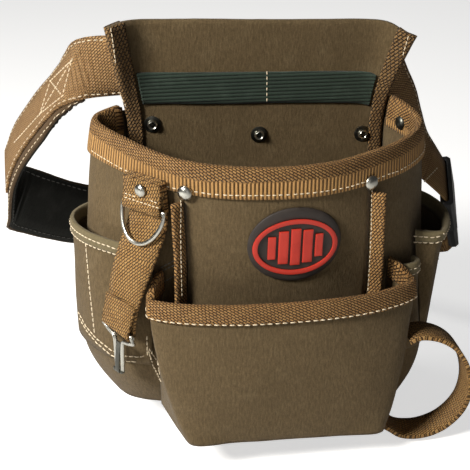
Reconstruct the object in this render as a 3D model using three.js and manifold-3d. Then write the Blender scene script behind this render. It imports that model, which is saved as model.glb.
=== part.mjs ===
// A carpenter's nail apron: a deep canvas tool pouch on a waist belt. It has a tall back panel
// with folded wings, a webbing rim, a bellows pocket in front, small pockets on both sides,
// a ring with a hanging strap, a hammer loop and a buckled belt that hangs in a slack loop.
// Millimetres, +Z up, the front of the pouch faces -Y, and +X is to the right.
// The origin is the middle of the belt behind the back panel, where the apron sits at the waist.
import * as THREE from 'three';
import Module from 'manifold-3d';

const wasm = await Module();
wasm.setup();

// Cloth and webbing
const clearance = 0.3;
const canvasThickness = 2;
const pocketThickness = 1.8;
const panelThickness = 3.2;
const webbingThickness = 2;
const tapeThickness = 1.3;
const seatGap = 0.6;              // what lies on curved canvas clears its facets by this

// Main pouch
const pouchHalfWidth = 133;
const pouchDepth = 130;
const rimRearHeight = -33;
const rimFrontHeight = -45.5;
const bottomHeight = -276;
const bottomLean = 0.03;          // the bottom falls this much for each millimetre to the right
const rimTapeShare = 0.11;         // the rim webbing reaches down this share of the pouch's height
const bottomThickness = 2.6;

// Back panel
const panelTop = 36;
const panelTopLean = 4.5;
const wingForward = 25;
const wingFoldStart = 92;
const wingCornerDrop = 9;
const wingTapeShare = 0.096;       // the wing tape reaches in this share of the half width
const elasticTop = -7;
const elasticBottom = -34;
const elasticThickness = 1.4;

// Seam fins at the front corners of the pouch
const finReach = 12.5;
const finThickness = 4.6;
const finAngle = THREE.MathUtils.degToRad(35);

// Front bellows pocket
const frontRimHeight = -150;
const frontRimRise = 15;          // its side rims climb this much towards the pouch
const frontPocketHalf = pouchHalfWidth * 0.8346;
const frontPocketReach = 152;
const frontTapeShare = 0.1;       // its tape reaches down this share of its height
const pocketSeamGap = 2.2;        // its side seams stand this far off the pouch

// Side pockets
const sideHemReach = 8;
const sideHemThickness = 1.2;

// Badge patch
const badgeWidth = 74;
const badgeHeight = 66;
const badgeThickness = 2.2;
const badgeCentre = { x: 8, z: -108 };

// Rivets
const rivetRadius = 5.4;
const rivetHeight = 2.6;
const backRivetRadius = 4.8;
const backRivetSpacing = pouchHalfWidth * 0.6842;
const backRivetHeights = [-52, -62, -61];

// Ring, its keeper and the hanging strap
const strapWidth = 37;
const strapThickness = 2;
const ringWire = 3.8;
const ringHeight = 27;
const ringTilt = 9.5;               // its foot stands this far off its bar, over the strap
const ringBarHeight = -80;
const strapTop = -57;
const strapLength = 123;
const strapAnchor = { x: -0.782 * pouchHalfWidth, y: -92 };

// Clip at the end of the strap
const clipLength = 39;
const clipWire = 2.6;

// Hammer loop
const loopWebbingWidth = 25;
const loopWebbingThickness = 3.6;
const loopDepth = -122;
const loopWide = 58;
const loopTall = 97;
const loopStart = { x: 0.7932 * pouchHalfWidth, z: -201 };

// Belt
const beltReach = 220;
const beltBow = 148;
const beltDrop = 205;
const beltWebbingWidth = 50;
const beltPadWidth = 64;
const beltWebbingRise = 5;        // the webbing lies this far above the middle of the pad
const beltPadThickness = 2.6;
const beltLiningThickness = 1.6;
const buckleWidth = 62;
const buckleThickness = 12;
const socketLength = 38;
const prongLength = 27;
const slotDepth = 9;
const buckleRow = 21.7;           // its place along the belt, in rows of the belt's table

const colours = {
  canvas: [0x7a6a4e, 0.95, 0],
  canvasDark: [0x6a5b43, 0.95, 0],
  webbing: [0xb0834f, 0.9, 0],
  tape: [0x6e6242, 0.9, 0],
  elastic: [0x2c3a30, 0.85, 0],
  lining: [0x23231f, 0.9, 0],
  nickel: [0xb9bbb4, 0.3, 1],
  gunmetal: [0x4a4d48, 0.35, 1],
  rubberRed: [0xb3261a, 0.5, 0],
  plastic: [0x18191a, 0.45, 0],
};

const { lerp, smoothstep, clamp } = THREE.MathUtils;
const vec = (x, y, z) => new THREE.Vector3(x, y, z);
const part = new THREE.Group();

function add(name, geometry, finish) {
  const [color, roughness, metalness] = colours[finish];
  const mesh = new THREE.Mesh(geometry, new THREE.MeshStandardMaterial({ color, roughness, metalness }));
  mesh.name = name;
  part.add(mesh);
  return mesh;
}

// A closed body from its points and triangles, with its faces turned outwards
function solid(points, triangles) {
  const around = vec(0, 0, 0);
  let volume = 0;
  for (const [a, b, c] of triangles) volume += points[a].dot(around.crossVectors(points[b], points[c]));
  const index = triangles.flatMap(([a, b, c]) => (volume < 0 ? [a, c, b] : [a, b, c]));
  const geometry = new THREE.BufferGeometry();
  geometry.setAttribute('position', new THREE.Float32BufferAttribute(points.flatMap((p) => p.toArray()), 3));
  geometry.setIndex(index);
  geometry.computeVertexNormals();
  return geometry;
}

// The outward normal of a face given by u along it and v down it
function normalAt(faceAt, u, v, step = 0.004) {
  const along = faceAt(u + step, v).sub(faceAt(u - step, v));
  const down = faceAt(u, v + step).sub(faceAt(u, v - step));
  return down.cross(along).normalize();
}

// A cloth wall with its thickness on the inner side of the face, or outside it if negative
function wall(faceAt, across, down, thickness) {
  const points = [];
  const triangles = [];
  const rows = down.length;
  for (const depth of [0, thickness]) {
    for (const u of across) {
      for (const v of down) points.push(faceAt(u, v).addScaledVector(normalAt(faceAt, u, v), -depth));
    }
  }
  const at = (side, i, j) => side * across.length * rows + i * rows + j;
  const quad = (a, b, c, d) => triangles.push([a, b, c], [a, c, d]);
  const lastU = across.length - 1;
  const lastV = rows - 1;
  for (let i = 0; i < lastU; i += 1) {
    for (let j = 0; j < lastV; j += 1) {
      quad(at(0, i, j), at(0, i, j + 1), at(0, i + 1, j + 1), at(0, i + 1, j));
      quad(at(1, i, j), at(1, i + 1, j), at(1, i + 1, j + 1), at(1, i, j + 1));
    }
    quad(at(0, i, 0), at(0, i + 1, 0), at(1, i + 1, 0), at(1, i, 0));
    quad(at(0, i, lastV), at(1, i, lastV), at(1, i + 1, lastV), at(0, i + 1, lastV));
  }
  for (let j = 0; j < lastV; j += 1) {
    quad(at(0, 0, j), at(1, 0, j), at(1, 0, j + 1), at(0, 0, j + 1));
    quad(at(0, lastU, j), at(0, lastU, j + 1), at(1, lastU, j + 1), at(1, lastU, j));
  }
  return solid(points, triangles);
}

// A body skinned over rings of points, capped by the flat outline of one ring unless it closes
function skin(rings, outline, closes = false) {
  const size = rings[0].length;
  const points = rings.flat();
  const triangles = [];
  const last = closes ? rings.length : rings.length - 1;
  for (let i = 0; i < last; i += 1) {
    const ring = i * size;
    const next = ((i + 1) % rings.length) * size;
    for (let j = 0; j < size; j += 1) {
      const k = (j + 1) % size;
      if (outline[j][0] > outline[k][0]) {
        triangles.push([ring + j, ring + k, next + j], [ring + k, next + k, next + j]);
      } else {
        triangles.push([ring + j, ring + k, next + k], [ring + j, next + k, next + j]);
      }
    }
  }
  if (!closes) {
    const cap = THREE.ShapeUtils.triangulateShape(outline.map(([x, y]) => new THREE.Vector2(x, y)), []);
    const end = (rings.length - 1) * size;
    const turn = THREE.ShapeUtils.area(outline.map(([x, y]) => new THREE.Vector2(x, y))) > 0;
    for (const [a, b, c] of cap) {
      triangles.push(turn ? [a, c, b] : [a, b, c]);
      triangles.push(turn ? [end + a, end + b, end + c] : [end + a, end + c, end + b]);
    }
  }
  return solid(points, triangles);
}

// Tape folded over the edge of a wall. middleAt(t, d) gives the middle of the wall and its normal
// at t along the edge and a share d of the tape's reach in from it.
function foldedTape(middleAt, stations, wallThickness, thickness, steps = 1, gap = seatGap) {
  const inner = wallThickness / 2 + gap;
  const outer = inner + thickness;
  const top = gap + thickness;
  const run = Array.from({ length: steps }, (_, k) => 1 - k / steps);
  const outline = [
    ...run.map((d) => [d, outer]), [0, outer], [-top, outer * 0.5],
    [-top, -outer * 0.5], [0, -outer], ...run.map((d) => [d, -outer]).reverse(),
    ...run.map((d) => [d, -inner]), [-gap, -inner], [-gap, inner],
    ...run.map((d) => [d, inner]).reverse(),
  ];
  const rings = stations.map((t) => {
    const edge = middleAt(t, 0);
    const outwards = edge.point.clone().sub(middleAt(t, 0.5).point).normalize();
    return outline.map(([d, h]) => {
      const { point, normal } = d > 0 ? middleAt(t, d) : edge;
      const place = point.clone().addScaledVector(normal, h);
      return d < 0 ? place.addScaledVector(outwards, -d) : place;
    });
  });
  return skin(rings, outline);
}

// A flat band along a route of frames, each with a point and the unit ways across and out
function band(frames, width, thickness, closes = false) {
  const w = width / 2;
  const t = thickness / 2;
  const outline = [[-w, -t], [w, -t], [w, t], [-w, t]];
  const rings = frames.map(({ point, across, out }) => outline.map(([a, b]) => (
    point.clone().addScaledVector(across, a).addScaledVector(out, b))));
  return skin(rings, outline, closes);
}

// A round wire along a route that closes or has two ends
function wire(path, diameter, sides, closes = false) {
  const rings = path.map((point, i) => {
    const before = path[closes ? (i + path.length - 1) % path.length : Math.max(i - 1, 0)];
    const after = path[closes ? (i + 1) % path.length : Math.min(i + 1, path.length - 1)];
    const along = after.clone().sub(before).normalize();
    const a = vec(0.31, 0.77, 0.55).cross(along).normalize();
    const b = along.clone().cross(a);
    return Array.from({ length: sides }, (_, k) => {
      const turn = (2 * Math.PI * k) / sides;
      return point.clone()
        .addScaledVector(a, Math.cos(turn) * diameter / 2)
        .addScaledVector(b, Math.sin(turn) * diameter / 2);
    });
  });
  const outline = Array.from({ length: sides }, (_, k) => (
    [Math.cos((2 * Math.PI * k) / sides), Math.sin((2 * Math.PI * k) / sides)]));
  return skin(rings, outline, closes);
}

// One column of a table at a share of the way down, on a smooth curve through its rows
function fromTable(table, key, share) {
  const at = table.map((row) => row.drop);
  let i = 0;
  while (i < table.length - 2 && share > at[i + 1]) i += 1;
  const slope = (k) => {
    const a = Math.max(k - 1, 0);
    const b = Math.min(k + 1, table.length - 1);
    return (table[b][key] - table[a][key]) / (at[b] - at[a]);
  };
  const span = at[i + 1] - at[i];
  const t = (share - at[i]) / span;
  const t2 = t * t;
  const t3 = t2 * t;
  return (2 * t3 - 3 * t2 + 1) * table[i][key] + (t3 - 2 * t2 + t) * span * slope(i)
    + (3 * t2 - 2 * t3) * table[i + 1][key] + (t3 - t2) * span * slope(i + 1);
}

const bottomAt = (x) => bottomHeight - bottomLean * x;

// Back panel: half widths as shares of the pouch's, drop as a share of the panel's height
const panelEdges = [
  { drop: 0.00, left: 0.945, right: 0.985 },
  { drop: 0.08, left: 0.912, right: 0.925 },
  { drop: 0.16, left: 0.872, right: 0.862 },
  { drop: 0.24, left: 0.832, right: 0.815 },
  { drop: 0.34, left: 0.822, right: 0.800 },
  { drop: 0.55, left: 0.850, right: 0.835 },
  { drop: 0.80, left: 0.875, right: 0.852 },
  { drop: 0.92, left: 0.842, right: 0.825 },
  { drop: 1.00, left: 0.785, right: 0.775 },
];
const panelHeight = panelTop - bottomHeight;
const edgeAt = (side, z) => pouchHalfWidth * fromTable(panelEdges, side, clamp((panelTop - z) / panelHeight, 0, 1));
const wingAt = (z) => wingForward * (1 - smoothstep(panelTop - z, 0, panelHeight * 0.3));

// The rear face of the back panel: u runs from -1 at the left edge to 1 at the right
function panelAt(u, v) {
  const corner = wingCornerDrop * smoothstep(u, 0.8, 1) + 2 * smoothstep(-u, 0.9, 1);
  const top = panelTop - panelTopLean * u - corner;
  const z = lerp(top, bottomAt(u * pouchHalfWidth * 0.8), v);
  const edge = edgeAt(u < 0 ? 'left' : 'right', z);
  const x = u * edge;
  const fold = clamp((Math.abs(x) - wingFoldStart) / (edge - wingFoldStart + 4), 0, 1.1);
  return vec(x, -wingAt(z) * fold ** 1.6, z);
}

const rightColumns = [0, 0.25, 0.5, 0.68, 0.78, 0.85, 1 - wingTapeShare, 1 - wingTapeShare / 2, 1];
const panelColumns = [...rightColumns.slice(1).reverse().map((u) => -u), ...rightColumns];
const panelRows = [0, 0.06, 0.12, 0.18, 0.24, 0.32, 0.42, 0.55, 0.68, 0.8, 0.9, 1];

// Pouch: places as shares of its half width and depth, drop as a share of its height
const leftGusset = [
  { drop: 0.000, wideX: 1.053, wideY: 0.185, shoulderX: 0.865, shoulderY: 0.546 },
  { drop: 0.200, wideX: 1.105, wideY: 0.230, shoulderX: 0.895, shoulderY: 0.585 },
  { drop: 0.375, wideX: 1.135, wideY: 0.277, shoulderX: 0.917, shoulderY: 0.646 },
  { drop: 0.775, wideX: 1.215, wideY: 0.292, shoulderX: 0.992, shoulderY: 0.731 },
  { drop: 0.900, wideX: 1.155, wideY: 0.292, shoulderX: 0.962, shoulderY: 0.662 },
  { drop: 1.000, wideX: 1.040, wideY: 0.292, shoulderX: 0.917, shoulderY: 0.585 },
];
const rightGusset = [
  { drop: 0.000, wideX: 0.947, wideY: 0.423, shoulderX: 0.767, shoulderY: 0.708 },
  { drop: 0.200, wideX: 0.985, wideY: 0.423, shoulderX: 0.797, shoulderY: 0.715 },
  { drop: 0.375, wideX: 1.008, wideY: 0.400, shoulderX: 0.827, shoulderY: 0.715 },
  { drop: 0.775, wideX: 1.050, wideY: 0.400, shoulderX: 0.930, shoulderY: 0.746 },
  { drop: 0.900, wideX: 1.010, wideY: 0.400, shoulderX: 0.915, shoulderY: 0.738 },
  { drop: 1.000, wideX: 0.890, wideY: 0.385, shoulderX: 0.812, shoulderY: 0.746 },
];
const frontPanel = [
  { drop: 0.000, left: 0.571, right: 0.519, depth: 0.865, swell: 0.135 },
  { drop: 0.200, left: 0.564, right: 0.526, depth: 0.869, swell: 0.115 },
  { drop: 0.375, left: 0.556, right: 0.534, depth: 0.869, swell: 0.085 },
  { drop: 0.775, left: 0.564, right: 0.549, depth: 0.826, swell: 0.070 },
  { drop: 0.900, left: 0.579, right: 0.564, depth: 0.762, swell: 0.070 },
  { drop: 1.000, left: 0.594, right: 0.579, depth: 0.690, swell: 0.100 },
];
const rearGap = tapeThickness + 3 * clearance + canvasThickness * 1.5;   // seam beside the panel's tape
const sectionCache = new Map();

// The pouch's outline at a share of the way down, from the left rear corner round to the right
function sectionAt(v) {
  if (!sectionCache.has(v)) {
    const share = clamp(v, 0, 1);
    const z = lerp(rimRearHeight, bottomHeight, share);
    const gusset = (table, sign, key) => vec(
      sign * pouchHalfWidth * fromTable(table, `${key}X`, share),
      -pouchDepth * fromTable(table, `${key}Y`, share),
      0,
    );
    const depth = -pouchDepth * fromTable(frontPanel, 'depth', share);
    const swell = -pouchDepth * fromTable(frontPanel, 'swell', share);
    const left = -pouchHalfWidth * fromTable(frontPanel, 'left', share);
    const right = pouchHalfWidth * fromTable(frontPanel, 'right', share);
    sectionCache.set(v, new THREE.CatmullRomCurve3([
      vec(-edgeAt('left', z) - rearGap, -panelThickness / 2, 0),
      gusset(leftGusset, -1, 'wide'),
      gusset(leftGusset, -1, 'shoulder'),
      vec(left, depth, 0),
      vec(left * 0.5, depth + swell * 0.79, 0),
      vec(0, depth + swell, 0),
      vec(right * 0.5, depth + swell * 0.79, 0),
      vec(right, depth, 0),
      gusset(rightGusset, 1, 'shoulder'),
      gusset(rightGusset, 1, 'wide'),
      vec(edgeAt('right', z) + rearGap, -panelThickness / 2, 0),
    ], false, 'centripetal'));
  }
  return sectionCache.get(v);
}
const spans = 10;
const leftCorner = 3;
const rightCorner = 7;
const middle = 5;

// The outer face of the pouch: s counts the outline's spans, v is the share of the way down
function pouchAt(s, v) {
  const t = clamp(s / spans, 0, 1);
  const point = sectionAt(v).getPoint(t);
  const rim = lerp(rimRearHeight, rimFrontHeight, -sectionAt(0).getPoint(t).y / pouchDepth);
  point.z = lerp(rim, bottomAt(point.x), v);
  return point;
}
const offPouch = (s, v, gap) => pouchAt(s, v).addScaledVector(normalAt(pouchAt, s, v), gap);
const shareAt = (s, z) => {
  const top = pouchAt(s, 0).z;
  return (z - top) / (pouchAt(s, 1).z - top);
};

const levels = [0, rimTapeShare / 2, rimTapeShare, 0.21, 0.335, 0.44, 0.55, 0.66, 0.775, 0.86, 0.93, 1];
const seam = 0.012;                // half of the gap between the canvas panels at a corner
const leftStations = [0, 0.1, 0.4, 0.7, 1, 1.25, 1.5, 1.75, 2, 2.33, 2.67, leftCorner - seam];
const frontStations = [leftCorner + seam, 3.5, 4, 4.5, middle, 5.5, 6, 6.5, rightCorner - seam];
const rightStations = [rightCorner + seam, 7.33, 7.67, 8, 8.25, 8.5, 8.75, 9, 9.3, 9.6, 9.9, spans];

function buildPouch() {
  add('back_panel', wall(panelAt, panelColumns, panelRows, -panelThickness), 'canvas');
  add('gusset_left', wall(pouchAt, leftStations, levels, canvasThickness), 'canvas');
  add('front_panel', wall(pouchAt, frontStations, levels, canvasThickness), 'canvas');
  add('gusset_right', wall(pouchAt, rightStations, levels, canvasThickness), 'canvas');
}

// A flat plate over an outline seen from above, lying on the leaning bottom
function bottomPlate(outline) {
  const lower = outline.map((p) => vec(p.x, p.y, bottomAt(p.x)));
  const upper = outline.map((p) => vec(p.x, p.y, bottomAt(p.x) + bottomThickness));
  return skin([lower, upper], outline.map((p) => [p.x, p.y]));
}

function buildBottom() {
  const inset = canvasThickness * 1.25 + 2 * clearance;
  const stations = [...leftStations, ...frontStations, ...rightStations].filter((s) => s > 0.2 && s < 9.8);
  const outline = stations.map((s) => {
    const normal = normalAt(pouchAt, s, 0.99).setZ(0).normalize();
    return pouchAt(s, 1).addScaledVector(normal, -inset);
  });
  const rear = -panelThickness - clearance;
  const tapeRear = rear - tapeThickness - 2 * seatGap;
  const right = edgeAt('right', bottomHeight);
  const left = -edgeAt('left', bottomHeight);
  const inside = 1 - 1.15 * wingTapeShare;
  outline.push(
    vec(right, tapeRear, 0), vec(right * inside, tapeRear, 0), vec(right * inside, rear, 0),
    vec(left * inside, rear, 0), vec(left * inside, tapeRear, 0), vec(left, tapeRear, 0),
  );
  add('pouch_bottom', bottomPlate(outline), 'canvasDark');
}

function buildRim() {
  const middleAt = (s, d) => {
    const normal = normalAt(pouchAt, s, d * rimTapeShare);
    const point = pouchAt(s, d * rimTapeShare).addScaledVector(normal, -canvasThickness / 2);
    return { point, normal };
  };
  const stations = [...leftStations.slice(1, -1), leftCorner, ...frontStations.slice(1, -1),
    rightCorner, ...rightStations.slice(1, -1)];
  add('rim_webbing', foldedTape(middleAt, stations, canvasThickness, webbingThickness, 2), 'webbing');
}

function buildWings() {
  for (const [name, side] of [['wing_tape_left', -1], ['wing_tape_right', 1]]) {
    const middleAt = (v, d) => {
      const u = side * (1 - d * wingTapeShare);
      const normal = normalAt(panelAt, u, v);
      const point = panelAt(u, v).addScaledVector(normal, panelThickness / 2);
      return { point, normal };
    };
    add(name, foldedTape(middleAt, panelRows, panelThickness, tapeThickness, 2, seatGap * 1.3), 'webbing');
  }
}

// The front face of the back panel at a place given in millimetres
function panelFront(x, z, gap) {
  const v = (panelTop - z) / panelHeight;
  const u = x / edgeAt(x < 0 ? 'left' : 'right', z);
  return panelAt(u, v).addScaledVector(normalAt(panelAt, u, v), panelThickness + gap);
}

function buildElastic() {
  const faceAt = (u, v) => {
    const z = lerp(elasticTop, elasticBottom, v);
    return panelFront(u * edgeAt(u < 0 ? 'left' : 'right', z), z, seatGap + elasticThickness);
  };
  const right = [0, ...rightColumns.slice(3, -3), 1 - 1.2 * wingTapeShare];
  const across = [...right.slice(1).reverse().map((u) => -u), ...right];
  add('elastic_strip', wall(faceAt, across, [0, 0.4, 1], elasticThickness), 'elastic');
}

// A domed rivet head with a shallow rim, standing along its own Y axis
function rivetHead(radius, height) {
  const profile = [[0, 0], [radius, 0], [radius, height * 0.3], [radius * 0.8, height * 0.62],
    [radius * 0.45, height * 0.94], [0, height]];
  return new THREE.LatheGeometry(profile.map(([x, y]) => new THREE.Vector2(x, y)), 12);
}

function addRivet(name, radius, point, direction, finish) {
  const mesh = add(name, rivetHead(radius, rivetHeight), finish);
  mesh.position.copy(point);
  mesh.quaternion.setFromUnitVectors(vec(0, 1, 0), direction);
}

function buildRivets() {
  ['left', 'centre', 'right'].forEach((side, i) => {
    const x = (i - 1) * backRivetSpacing;
    addRivet(`back_rivet_${side}`, backRivetRadius, panelFront(x, backRivetHeights[i], seatGap), vec(0, -1, 0), 'gunmetal');
  });
  const onRim = webbingThickness + 2 * seatGap;
  for (const [name, s] of [['rim_rivet_left', leftCorner + 0.06], ['rim_rivet_right', rightCorner - 0.06]]) {
    const v = rimTapeShare - (rivetRadius * 0.9) / (rimFrontHeight - bottomHeight);
    addRivet(name, rivetRadius, offPouch(s, v, onRim), normalAt(pouchAt, s, v), 'nickel');
  }
  const endNormal = normalAt(pouchAt, 9.55, rimTapeShare / 2).negate();
  const end = pouchAt(9.55, rimTapeShare / 2).addScaledVector(endNormal, canvasThickness + onRim);
  addRivet('rim_end_rivet', rivetRadius * 0.8, end, endNormal, 'nickel');
}

// The seam fins stand out from the pouch's front corners, bound in webbing tape
const finRows = [0.125, ...levels.slice(3, -2), 0.91];
function finFrame(side, v) {
  const s = side < 0 ? leftCorner : rightCorner;
  const out = vec(side * Math.cos(finAngle), -Math.sin(finAngle), 0);
  const face = vec(out.y * side, -out.x * side, 0);
  const point = offPouch(s, v, seatGap);
  return { point, out, face };
}

function buildFins() {
  const half = finThickness / 2;
  const base = half * 1.3;
  const outline = [[0.6, -half * 0.15], [base, -half], [finReach - 1.4, -half], [finReach, -half * 0.4],
    [finReach, half * 0.4], [finReach - 1.4, half], [base, half], [0.6, half * 0.15]];
  for (const [name, side] of [['seam_fin_left', -1], ['seam_fin_right', 1]]) {
    const rings = finRows.map((v) => {
      const { point, out, face } = finFrame(side, v);
      return outline.map(([a, b]) => point.clone().addScaledVector(out, a).addScaledVector(face, b));
    });
    add(name, skin(rings, outline), 'webbing');
  }
}

// A plain oval patch with a raised border on the front panel
function buildBadge() {
  const place = (a, b, gap) => {
    const half = a < 0 ? frontPanel[1].left : frontPanel[1].right;
    const s = middle + (2 * a) / (half * pouchHalfWidth);
    return offPouch(s, shareAt(s, badgeCentre.z + b), gap);
  };
  const rings = [[0.02, badgeThickness * 0.6], [0.72, badgeThickness * 0.6], [0.8, badgeThickness], [0.94, badgeThickness],
    [1, badgeThickness * 0.5], [1, 0], [0.5, 0], [0.02, 0]];
  const turns = 24;
  const around = rings.map(([share, height]) => Array.from({ length: turns }, (_, k) => {
    const turn = (2 * Math.PI * k) / turns;
    return place(
      badgeCentre.x + (Math.cos(turn) * share * badgeWidth) / 2,
      (Math.sin(turn) * share * badgeHeight) / 2,
      seatGap + height,
    );
  }));
  const circle = Array.from({ length: turns }, (_, k) => (
    [Math.cos((2 * Math.PI * k) / turns), Math.sin((2 * Math.PI * k) / turns)]));
  add('badge_patch', skin(around, circle), 'rubberRed');
}

// Front pocket: corners as shares of its half width and reach, drop as a share of its height
const frontPocket = [
  { drop: 0.00, leftX: 0.973, leftY: 0.838, rightX: 1.010, rightY: 0.812, mid: 0.985 },
  { drop: 0.25, leftX: 0.955, leftY: 0.865, rightX: 0.985, rightY: 0.850, mid: 1.000 },
  { drop: 0.60, leftX: 0.870, leftY: 0.910, rightX: 0.925, rightY: 0.900, mid: 1.005 },
  { drop: 0.90, leftX: 0.765, leftY: 0.950, rightX: 0.840, rightY: 0.940, mid: 0.995 },
  { drop: 1.00, leftX: 0.700, leftY: 0.980, rightX: 0.785, rightY: 0.970, mid: 0.975 },
];
const pocketSeams = [2.62, 7.38];       // where its sides meet the pouch, outside the fins
const pocketCache = new Map();
function pocketSection(v) {
  if (!pocketCache.has(v)) {
    const share = clamp(v, 0, 1);
    const z = lerp(frontRimHeight + frontRimRise, bottomHeight, share);
    const seat = (s) => offPouch(s, Math.min(shareAt(s, z), 0.985), pocketSeamGap).setZ(0);
    const corner = (sign, key) => vec(
      sign * frontPocketHalf * fromTable(frontPocket, `${key}X`, share),
      -frontPocketReach * fromTable(frontPocket, `${key}Y`, share),
      0,
    );
    const mid = -frontPocketReach * fromTable(frontPocket, 'mid', share);
    const [a, b] = pocketSeams.map(seat);
    const left = corner(-1, 'left');
    const right = corner(1, 'right');
    const between = (p, q, t) => p.clone().lerp(q, t);
    pocketCache.set(v, new THREE.CatmullRomCurve3([
      a, between(a, left, 0.72), left.clone().lerp(vec(0, mid, 0), 0.03), 
      vec(left.x * 0.55, lerp(left.y, mid, 0.8), 0), vec(0, mid, 0), vec(right.x * 0.55, lerp(right.y, mid, 0.8), 0),
      right.clone().lerp(vec(0, mid, 0), 0.04), between(b, right, 0.62), b,
    ], false, 'centripetal'));
  }
  return pocketCache.get(v);
}

// The outer face of the front pocket: s counts its spans from the left seam to the right one
function pocketAt(s, v) {
  const point = pocketSection(v).getPoint(clamp(s / 8, 0, 1));
  const side = s < 2 ? s / 2 : (8 - s) / 2;
  const top = frontRimHeight + frontRimRise * (s > 2 && s < 6 ? 0 : 1 - smoothstep(side, 0, 1));
  point.z = lerp(top, bottomAt(point.x), v);
  return point;
}

const pocketStations = [0, 0.5, 1, 1.35, 1.7, 2, 2.3, 2.65, 3, 3.5, 4, 4.5, 5, 5.35, 5.7, 6, 6.3, 6.65, 7, 7.5, 8];
const pocketLevels = [0, frontTapeShare, 0.25, 0.42, 0.6, 0.78, 0.9, 1];

function buildFrontPocket() {
  add('front_pocket', wall(pocketAt, pocketStations, pocketLevels, pocketThickness), 'canvas');
  const middleAt = (s, d) => {
    const normal = normalAt(pocketAt, s, d * frontTapeShare);
    return { point: pocketAt(s, d * frontTapeShare).addScaledVector(normal, -pocketThickness / 2), normal };
  };
  const stations = [0.12, ...pocketStations.slice(1, -1), 7.88];
  add('front_pocket_tape', foldedTape(middleAt, stations, pocketThickness, tapeThickness, 1, seatGap * 2.2), 'webbing');
  const outline = pocketStations.filter((s) => s > 0.4 && s < 7.6).map((s) => {
    const normal = normalAt(pocketAt, s, 0.99).setZ(0).normalize();
    return pocketAt(s, 1).addScaledVector(normal, -pocketThickness * 1.3 - clearance);
  });
  for (let s = rightCorner + 0.2; s > leftCorner - 0.25; s -= 0.4) outline.push(offPouch(s, 0.995, finReach * 0.5));
  add('front_pocket_bottom', bottomPlate(outline), 'canvasDark');
}

// Side pockets: how far each stands off the pouch at its rim, at places along the outline
const sidePockets = [
  {
    name: 'side_pocket_left', top: 0.335, bottom: 0.775,
    gaps: [[0.15, 0.6], [0.4, 5], [0.7, 8], [1, 10], [1.25, 11], [1.5, 12], [1.75, 10], [2, 6], [2.33, 3], [2.52, 0.6]],
  },
  {
    name: 'side_pocket_right_rear', top: 0.335, bottom: 0.775,
    gaps: [[8.1, 0.6], [8.13, 8], [8.17, 18], [8.25, 23], [8.5, 21], [8.75, 19], [9, 17], [9.3, 14], [9.6, 9], [9.85, 0.6]],
  },
  {
    name: 'side_pocket_right_front', top: 0.425, bottom: 0.775,
    gaps: [[7.57, 0.6], [7.63, 5], [7.75, 9], [7.85, 9.5], [7.95, 8], [8.03, 0.6]],
  },
];

function buildSidePockets() {
  for (const { name, top, bottom, gaps } of sidePockets) {
    const table = gaps.map(([drop, gap]) => ({ drop, gap }));
    const outer = sideHemThickness + pocketThickness + 3 * clearance;
    const faceAt = (s, v) => {
      const share = lerp(top, bottom, v);
      const bulge = fromTable(table, 'gap', clamp(s, gaps[0][0], gaps[gaps.length - 1][0]));
      const gap = lerp(bulge, seatGap, clamp(v, 0, 1) ** 0.8);
      return offPouch(s, share, gap + outer * (1 - 0.5 * Math.min(1, Math.max(v, 0))));
    };
    const down = levels.filter((v) => v >= top - 0.001 && v <= bottom + 0.001).map((v) => (v - top) / (bottom - top));
    const hemShare = sideHemReach / ((bottom - top) * (rimFrontHeight - bottomHeight));
    const rows = [0, hemShare, ...down.filter((v) => v > hemShare * 1.3)];
    const across = gaps.map(([s]) => s);
    add(name, wall(faceAt, across, rows, pocketThickness), 'canvas');
    const middleAt = (s, d) => {
      const normal = normalAt(faceAt, s, d * hemShare);
      return { point: faceAt(s, d * hemShare).addScaledVector(normal, -pocketThickness / 2), normal };
    };
    add(`${name}_hem`, foldedTape(middleAt, across, pocketThickness, sideHemThickness), 'tape');
  }
}

// Strap: its middle line stands off the left gusset, and it slants and turns below the ring
const strapRoute = [
  { drop: 0.00, side: 5.5, out: 2.0, turn: -46 },
  { drop: 0.17, side: 7.0, out: 2.6, turn: -46 },
  { drop: 0.30, side: 8.0, out: 6.0, turn: -44 },
  { drop: 0.41, side: 8.0, out: 14.0, turn: -42 },
  { drop: 0.50, side: 6.5, out: 18.5, turn: -43 },
  { drop: 0.66, side: 1.5, out: 23.0, turn: -50 },
  { drop: 0.85, side: -2.0, out: 27.0, turn: -58 },
  { drop: 1.00, side: -3.0, out: 28.5, turn: -60 },
];
function strapFrame(share, gap = 0) {
  const turnAt = (degrees) => {
    const turn = THREE.MathUtils.degToRad(degrees);
    return [vec(Math.cos(turn), Math.sin(turn), 0), vec(Math.sin(turn), -Math.cos(turn), 0)];
  };
  const [side, away] = turnAt(strapRoute[0].turn);
  const [across, out] = turnAt(fromTable(strapRoute, 'turn', share));
  const point = vec(strapAnchor.x, strapAnchor.y, strapTop - strapLength * share)
    .addScaledVector(side, fromTable(strapRoute, 'side', share))
    .addScaledVector(away, fromTable(strapRoute, 'out', share))
    .addScaledVector(out, gap);
  return { point, across, out };
}
const shifted = ({ point, across, out }, away, rise) => (
  { point: point.clone().addScaledVector(out, away).add(vec(0, 0, rise)), across, out });

// A flat band through frames whose faces follow the way the route runs
function strapBand(frames, width, thickness) {
  return band(frames.map(({ point, across }, i) => {
    const before = frames[Math.max(i - 1, 0)].point;
    const after = frames[Math.min(i + 1, frames.length - 1)].point;
    return { point, across, out: across.clone().cross(after.clone().sub(before)).normalize() };
  }), width, thickness);
}

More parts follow.
